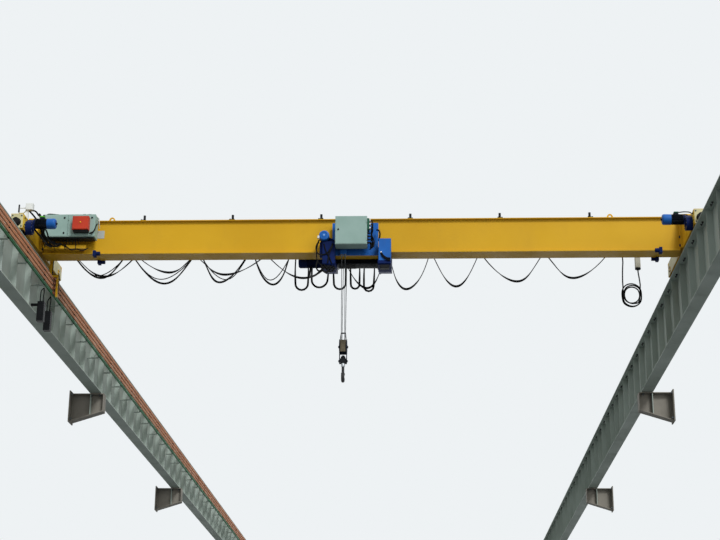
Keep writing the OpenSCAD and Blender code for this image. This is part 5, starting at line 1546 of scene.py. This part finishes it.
        self.shop.make("trolley_wiring", on_bridge(joined(*[cable(p, r) for p, r in runs])),
                       "cable neoprene", Body.TROLLEY, "cable_sheath")


@dataclass
class Hoist:
    """Drum with its rope, gearbox, hoist motor and the falls down to the block."""

    shop: Workshop
    axis_y: float = 0.36
    axis_z: float = 0.03
    rope: float = 0.0045
    wound: float = 0.10564

    def build(self) -> None:
        """Dresses the hoist's nodes and adds the rope on the drum and the motor's fins."""
        # The drum's finish is darkened by painted shade for its place under the girder.
        self.shop.paint.dress(self.shop.frame, {
            "hoist_drum": "drum steel with painted shade", "hoist_gearbox": "casting navy enamel",
            "drum_ropes": "greased wire rope", "anchor_ropes": "greased wire rope"})
        self.winding()
        self.motor()
        self.gear_bolts()
        self.anchor()
        for node in ("drum_ropes", "anchor_ropes"):
            self.falls(node)

    def winding(self) -> None:
        """Rope on the drum: a helix, (x + pitch * turn, wound radius, turn), between the leaving ropes."""
        pitch, turns = 0.0125, 11
        t = np.linspace(0, turns * 2 * np.pi, turns * 20 + 1)
        coils = []
        for start, sign in ((-0.245, -1), (-0.195, 1)):
            along = start + sign * pitch * t / (2 * np.pi)
            keep = (along > -0.3) & (along < 0.25)
            angle = np.pi + sign * t[keep]
            path = np.column_stack([along[keep], self.axis_y + (self.wound + 0.0012) * np.cos(angle),
                                    self.axis_z + (self.wound + 0.0012) * np.sin(angle)])
            across = np.tile([1.0, 0.0, 0.0], (len(path), 1))
            coils.append(swept(path, across, (self.rope, self.rope), 6))
        # The wound rope's finish is darker than the falls' through painted shade.
        self.shop.make("drum_winding", on_bridge(joined(*coils)), "greased rope with painted shade", Body.TROLLEY,
                       "rope_steel", angle=80)

    def motor(self) -> None:
        """The hoist motor to the left of the drum: flange, finned body, brake and fan cover."""
        body = turned_part([(0, 0.107), (0.016, 0.107), (0.018, 0.083), (0.27, 0.083), (0.275, 0.09),
                            (0.28, 0.095), (0.38, 0.095), (0.394, 0.09), (0.408, 0.078), (0.41, 0.06)], 40)
        ribs = ringed(slab((-0.0016, 0.0016), (0.08, 0.0945), (0.02, 0.272)), 30)
        shape = joined(body, ribs).turned(Facing.LEFT).moved((-0.52, self.axis_y, self.axis_z))
        motor = self.shop.make("hoist_motor_casing", on_bridge(shape), "casting navy enamel", Body.TROLLEY,
                               "navy_paint")
        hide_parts("hoist_motor")

    def gear_bolts(self) -> None:
        """Casing bolts round the gearbox's outer face."""
        angle = np.arange(10) * np.pi / 5
        spots = np.column_stack([np.full(10, 0.464), self.axis_y + 0.12 * np.cos(angle),
                                 self.axis_z + 0.12 * np.sin(angle)])
        self.shop.make("hoist_gearbox_bolts",
                       on_bridge(hex_bolt(0.017, 0.012).turned(Facing.RIGHT).at_each(spots)),
                       "zinc-plated fastener", Body.TROLLEY, "machined_steel")

    def anchor(self) -> None:
        """Wedge sockets that hold the ropes' dead ends under the front plate's anchor block."""
        socket = turned_part([(0, 0.013), (0.02, 0.014), (0.036, 0.019)], 12)
        self.shop.make("rope_sockets", on_bridge(socket.at_each(grid([-0.245, -0.195], [-0.2355], [-0.098]))),
                       "zinc-plated fastener", Body.TROLLEY, "machined_steel")

    def falls(self, node: str) -> None:
        """The taut ropes, drawn again over their solids and stretched between the trolley and the block.

        Args:
            node: the CAD node of the two ropes that go up to one side.
        """
        top = {"drum_ropes": (0.25336, 0.03), "anchor_ropes": (-0.235, -0.0626)}[node]
        low = 0.1 if top[0] > 0 else -0.1
        share = np.linspace(0, 1, 40)[:, None]
        runs = []
        for x in (-0.245, -0.195):
            path = np.array([x, top[0], top[1]]) * (1 - share) + np.array([x, low, -1.412]) * share
            across = np.tile([1.0, 0.0, 0.0], (len(path), 1))
            runs.append(swept(path, across, (self.rope, self.rope), 8))
        piece = self.shop.make(f"{node}_taut", on_bridge(joined(*runs)), "greased wire rope", None,
                               "rope_steel", angle=80)
        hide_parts(node)
        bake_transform(piece)


@dataclass
class HookBlock:
    """The block: painted cheeks, sheaves with the rope under them, crosshead, hook and latch."""

    shop: Workshop
    x: float = -0.22
    sheave_z: float = -1.412
    cross_z: float = -1.626
    half: float = 0.056

    def build(self) -> None:
        """Dresses the block's nodes and adds the ropes' turns, nuts and guards."""
        self.shop.paint.dress(self.shop.frame, {
            "block_cheeks": "motor dark enamel", "block_sheaves": "greasy sheave iron",
            "block_crosshead": "black enamel", "hook": "dark hook steel",
            "hook_latch": "bright latch zinc"})
        t = np.linspace(0, np.pi, 21)
        turns = []
        for x in (-0.245, -0.195):
            path = np.column_stack([np.full_like(t, x), 0.1 * np.cos(t), self.sheave_z - 0.1 * np.sin(t)])
            turns.append(swept(path, np.tile([1.0, 0.0, 0.0], (len(t), 1)), (0.0045, 0.0045), 8))
        self.shop.make("sheave_ropes", on_bridge(joined(*turns)), "greased wire rope", Body.BLOCK,
                       "rope_steel", angle=80)
        pin = hex_bolt(0.03, 0.012, 1.2)
        small = hex_bolt(0.026, 0.01, 1.2)
        self.shop.make("block_pin_heads", on_bridge(joined(
            pin.turned(Facing.RIGHT).moved((self.x + self.half + 0.006, 0, self.sheave_z)),
            pin.turned(Facing.LEFT).moved((self.x - self.half - 0.006, 0, self.sheave_z)),
            small.turned(Facing.RIGHT).moved((self.x + self.half + 0.004, 0, self.cross_z)),
            small.turned(Facing.LEFT).moved((self.x - self.half - 0.004, 0, self.cross_z)))),
            "zinc-plated fastener", Body.BLOCK, "machined_steel")
        self.arch()
        neck = turned_part([(-0.084, 0.026), (-0.0648, 0.0305), (-0.036, 0.0305)], 28)
        self.shop.make("hook_collar", on_bridge(neck.moved((self.x, 0, self.cross_z))), "bright latch zinc",
                       Body.HOOK, "black_steel")
        cover = joined(slab((-0.036, 0.036), (-0.1215, -0.1175), (-0.1, 0.078)),
                       slab((-0.0385, -0.036), (-0.1215, -0.095), (-0.1, 0.078)),
                       slab((0.036, 0.0385), (-0.1215, -0.095), (-0.1, 0.078)))
        self.shop.make("block_front_cover", on_bridge(cover.moved((self.x, 0.0, self.sheave_z))),
                       "worn olive enamel", Body.BLOCK, "block_paint", bevel=0.001)
        nut = turned_part([(0.03, 0.034), (0.066, 0.034), (0.068, 0.022), (0.082, 0.022)], 20)
        self.shop.make("hook_nut", on_bridge(nut.moved((self.x, 0, self.cross_z))), "black enamel",
                       Body.BLOCK, "black_steel")

    def arch(self) -> None:
        """Black rubber-dipped cover of the strap over the sheaves: its two legs, two slopes and top."""
        outer = [(0.0475, 0.122), (0.0365, 0.2165), (-0.0365, 0.2165), (-0.0475, 0.122)]
        inner = [(-0.0426, 0.1135), (-0.0255, 0.2035), (0.0255, 0.2035), (0.0426, 0.1135)]
        band = np.array(outer + inner)
        ring = np.column_stack([band[:, 0], band[:, 1]])
        shape = plate([(float(a), float(b)) for a, b in ring], (-0.0154, 0.0154)).turned(Facing.FRONT)
        self.shop.make("block_arch", on_bridge(shape.moved((self.x, 0.0, self.sheave_z))), "black enamel",
                       Body.BLOCK, "block_paint")


@dataclass
class Studio:
    """Camera at the photograph's angle, plain light, pale floor and backdrop."""

    eye: Point = (6.237, -16.88, -6.28)
    right: Point = (0.9992, 0.0404, 0.0078)
    up: Point = (0.0056, -0.3223, 0.9466)
    back: Point = (0.0408, -0.9458, -0.3222)
    lens: float = 75.5
    shift: Span = (-0.0007, 0.0011)
    floor_z: float = -8.0
    sky_level: Span = (0.17, 0.7)
    backdrop: str = "#eef2f4"
    floor_seen: str = "#cfd2d2"
    floor_lit: str = "#5f6161"

    def build(self) -> None:
        """Makes the camera, lamps, world and floor."""
        camera = bpy.data.cameras.new("camera")
        camera.lens, camera.sensor_width, camera.clip_end = self.lens, 36.0, 500.0
        camera.shift_x, camera.shift_y = self.shift
        seat = bpy.data.objects.new("camera", camera)
        turn = Matrix((self.right, self.up, self.back)).transposed().to_4x4()
        seat.matrix_world = Matrix.Translation(self.eye) @ turn
        bpy.context.scene.collection.objects.link(seat)
        bpy.context.scene.camera = seat
        bpy.context.scene.view_settings.view_transform = "Standard"
        self.light()
        self.world()
        self.floor()

    def light(self) -> None:
        """One soft lamp like a roof light, and a weaker one from the hall's near end."""
        for name, strength, spread, turn in (("roof", 2.2, 18.0, (50.0, 0.0, 28.0)),
                                             ("front", 0.5, 30.0, (80.0, 0.0, 35.0))):
            lamp = bpy.data.lights.new(name, "SUN")
            lamp.energy, lamp.angle = strength, math.radians(spread)
            seat = bpy.data.objects.new(name, lamp)
            seat.rotation_euler = tuple(math.radians(a) for a in turn)
            bpy.context.scene.collection.objects.link(seat)

    def world(self) -> None:
        """Light from all round, stronger from above; the camera, gloss and glass see a pale backdrop."""
        world = bpy.data.worlds.new("studio")
        bpy.context.scene.world = world
        world.use_nodes = True
        tree = world.node_tree
        tree.nodes.clear()
        coords = add_node(tree, "ShaderNodeTexCoord", {}).outputs["Generated"]
        height = add_node(tree, "ShaderNodeSeparateXYZ", {0: coords}).outputs[2]
        level = ranged(tree, height, (-0.5, 0.6), self.sky_level)
        soft = add_node(tree, "ShaderNodeBackground", {0: (1.0, 1.0, 1.0, 1.0), 1: level})
        pale = add_node(tree, "ShaderNodeBackground", {0: srgb(self.backdrop), 1: 1.0})
        rays = add_node(tree, "ShaderNodeLightPath", {})
        mirror = add_node(tree, "ShaderNodeMath", {0: rays.outputs["Is Glossy Ray"],
                                                   1: rays.outputs["Is Transmission Ray"]},
                                                   operation="MAXIMUM")
        seen = add_node(tree, "ShaderNodeMath", {0: rays.outputs["Is Camera Ray"], 1: mirror.outputs[0]},
                        operation="MAXIMUM")
        mix = add_node(tree, "ShaderNodeMixShader",
                       {0: seen.outputs[0], 1: soft.outputs[0], 2: pale.outputs[0]})
        add_node(tree, "ShaderNodeOutputWorld", {0: mix.outputs[0]})

    def floor(self) -> None:
        """A pale matt floor far below the runway, which throws little light back up at the undersides."""
        shape = slab((-60.0, 70.0), (-60.0, 100.0), (self.floor_z - 0.05, self.floor_z))
        mesh = bpy.data.meshes.new("floor")
        mesh.from_pydata(shape.verts.tolist(), [], [row for block in shape.faces for row in block.tolist()])
        ground = bpy.data.objects.new("floor", mesh)
        material = bpy.data.materials.new("pale studio floor")
        material.use_nodes = True
        tree = material.node_tree
        shader = tree.nodes["Principled BSDF"]
        rays = add_node(tree, "ShaderNodeLightPath", {})
        direct = add_node(tree, "ShaderNodeMath", {0: rays.outputs["Is Camera Ray"],
                                                   1: rays.outputs["Is Glossy Ray"]},
                                                   operation="MAXIMUM").outputs[0]
        tree.links.new(mixed(tree, direct, srgb(self.floor_lit), srgb(self.floor_seen)),
                       shader.inputs["Base Color"])
        shader.inputs["Roughness"].default_value = 0.9
        mesh.materials.append(material)
        bpy.context.scene.collection.objects.link(ground)


def main() -> None:
    """Loads the part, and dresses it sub-assembly by sub-assembly."""
    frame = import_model()
    shop = Workshop(frame, Paintbox())
    Studio().build()
    for maker in (Pendant, Runway, Girder, TravelDrives, BridgeElectrics, Festoon, Trolley, Hoist, HookBlock):
        maker(shop).build()
        LOG.info("%s done", maker.__name__)


if __name__ == "__main__":
    main()
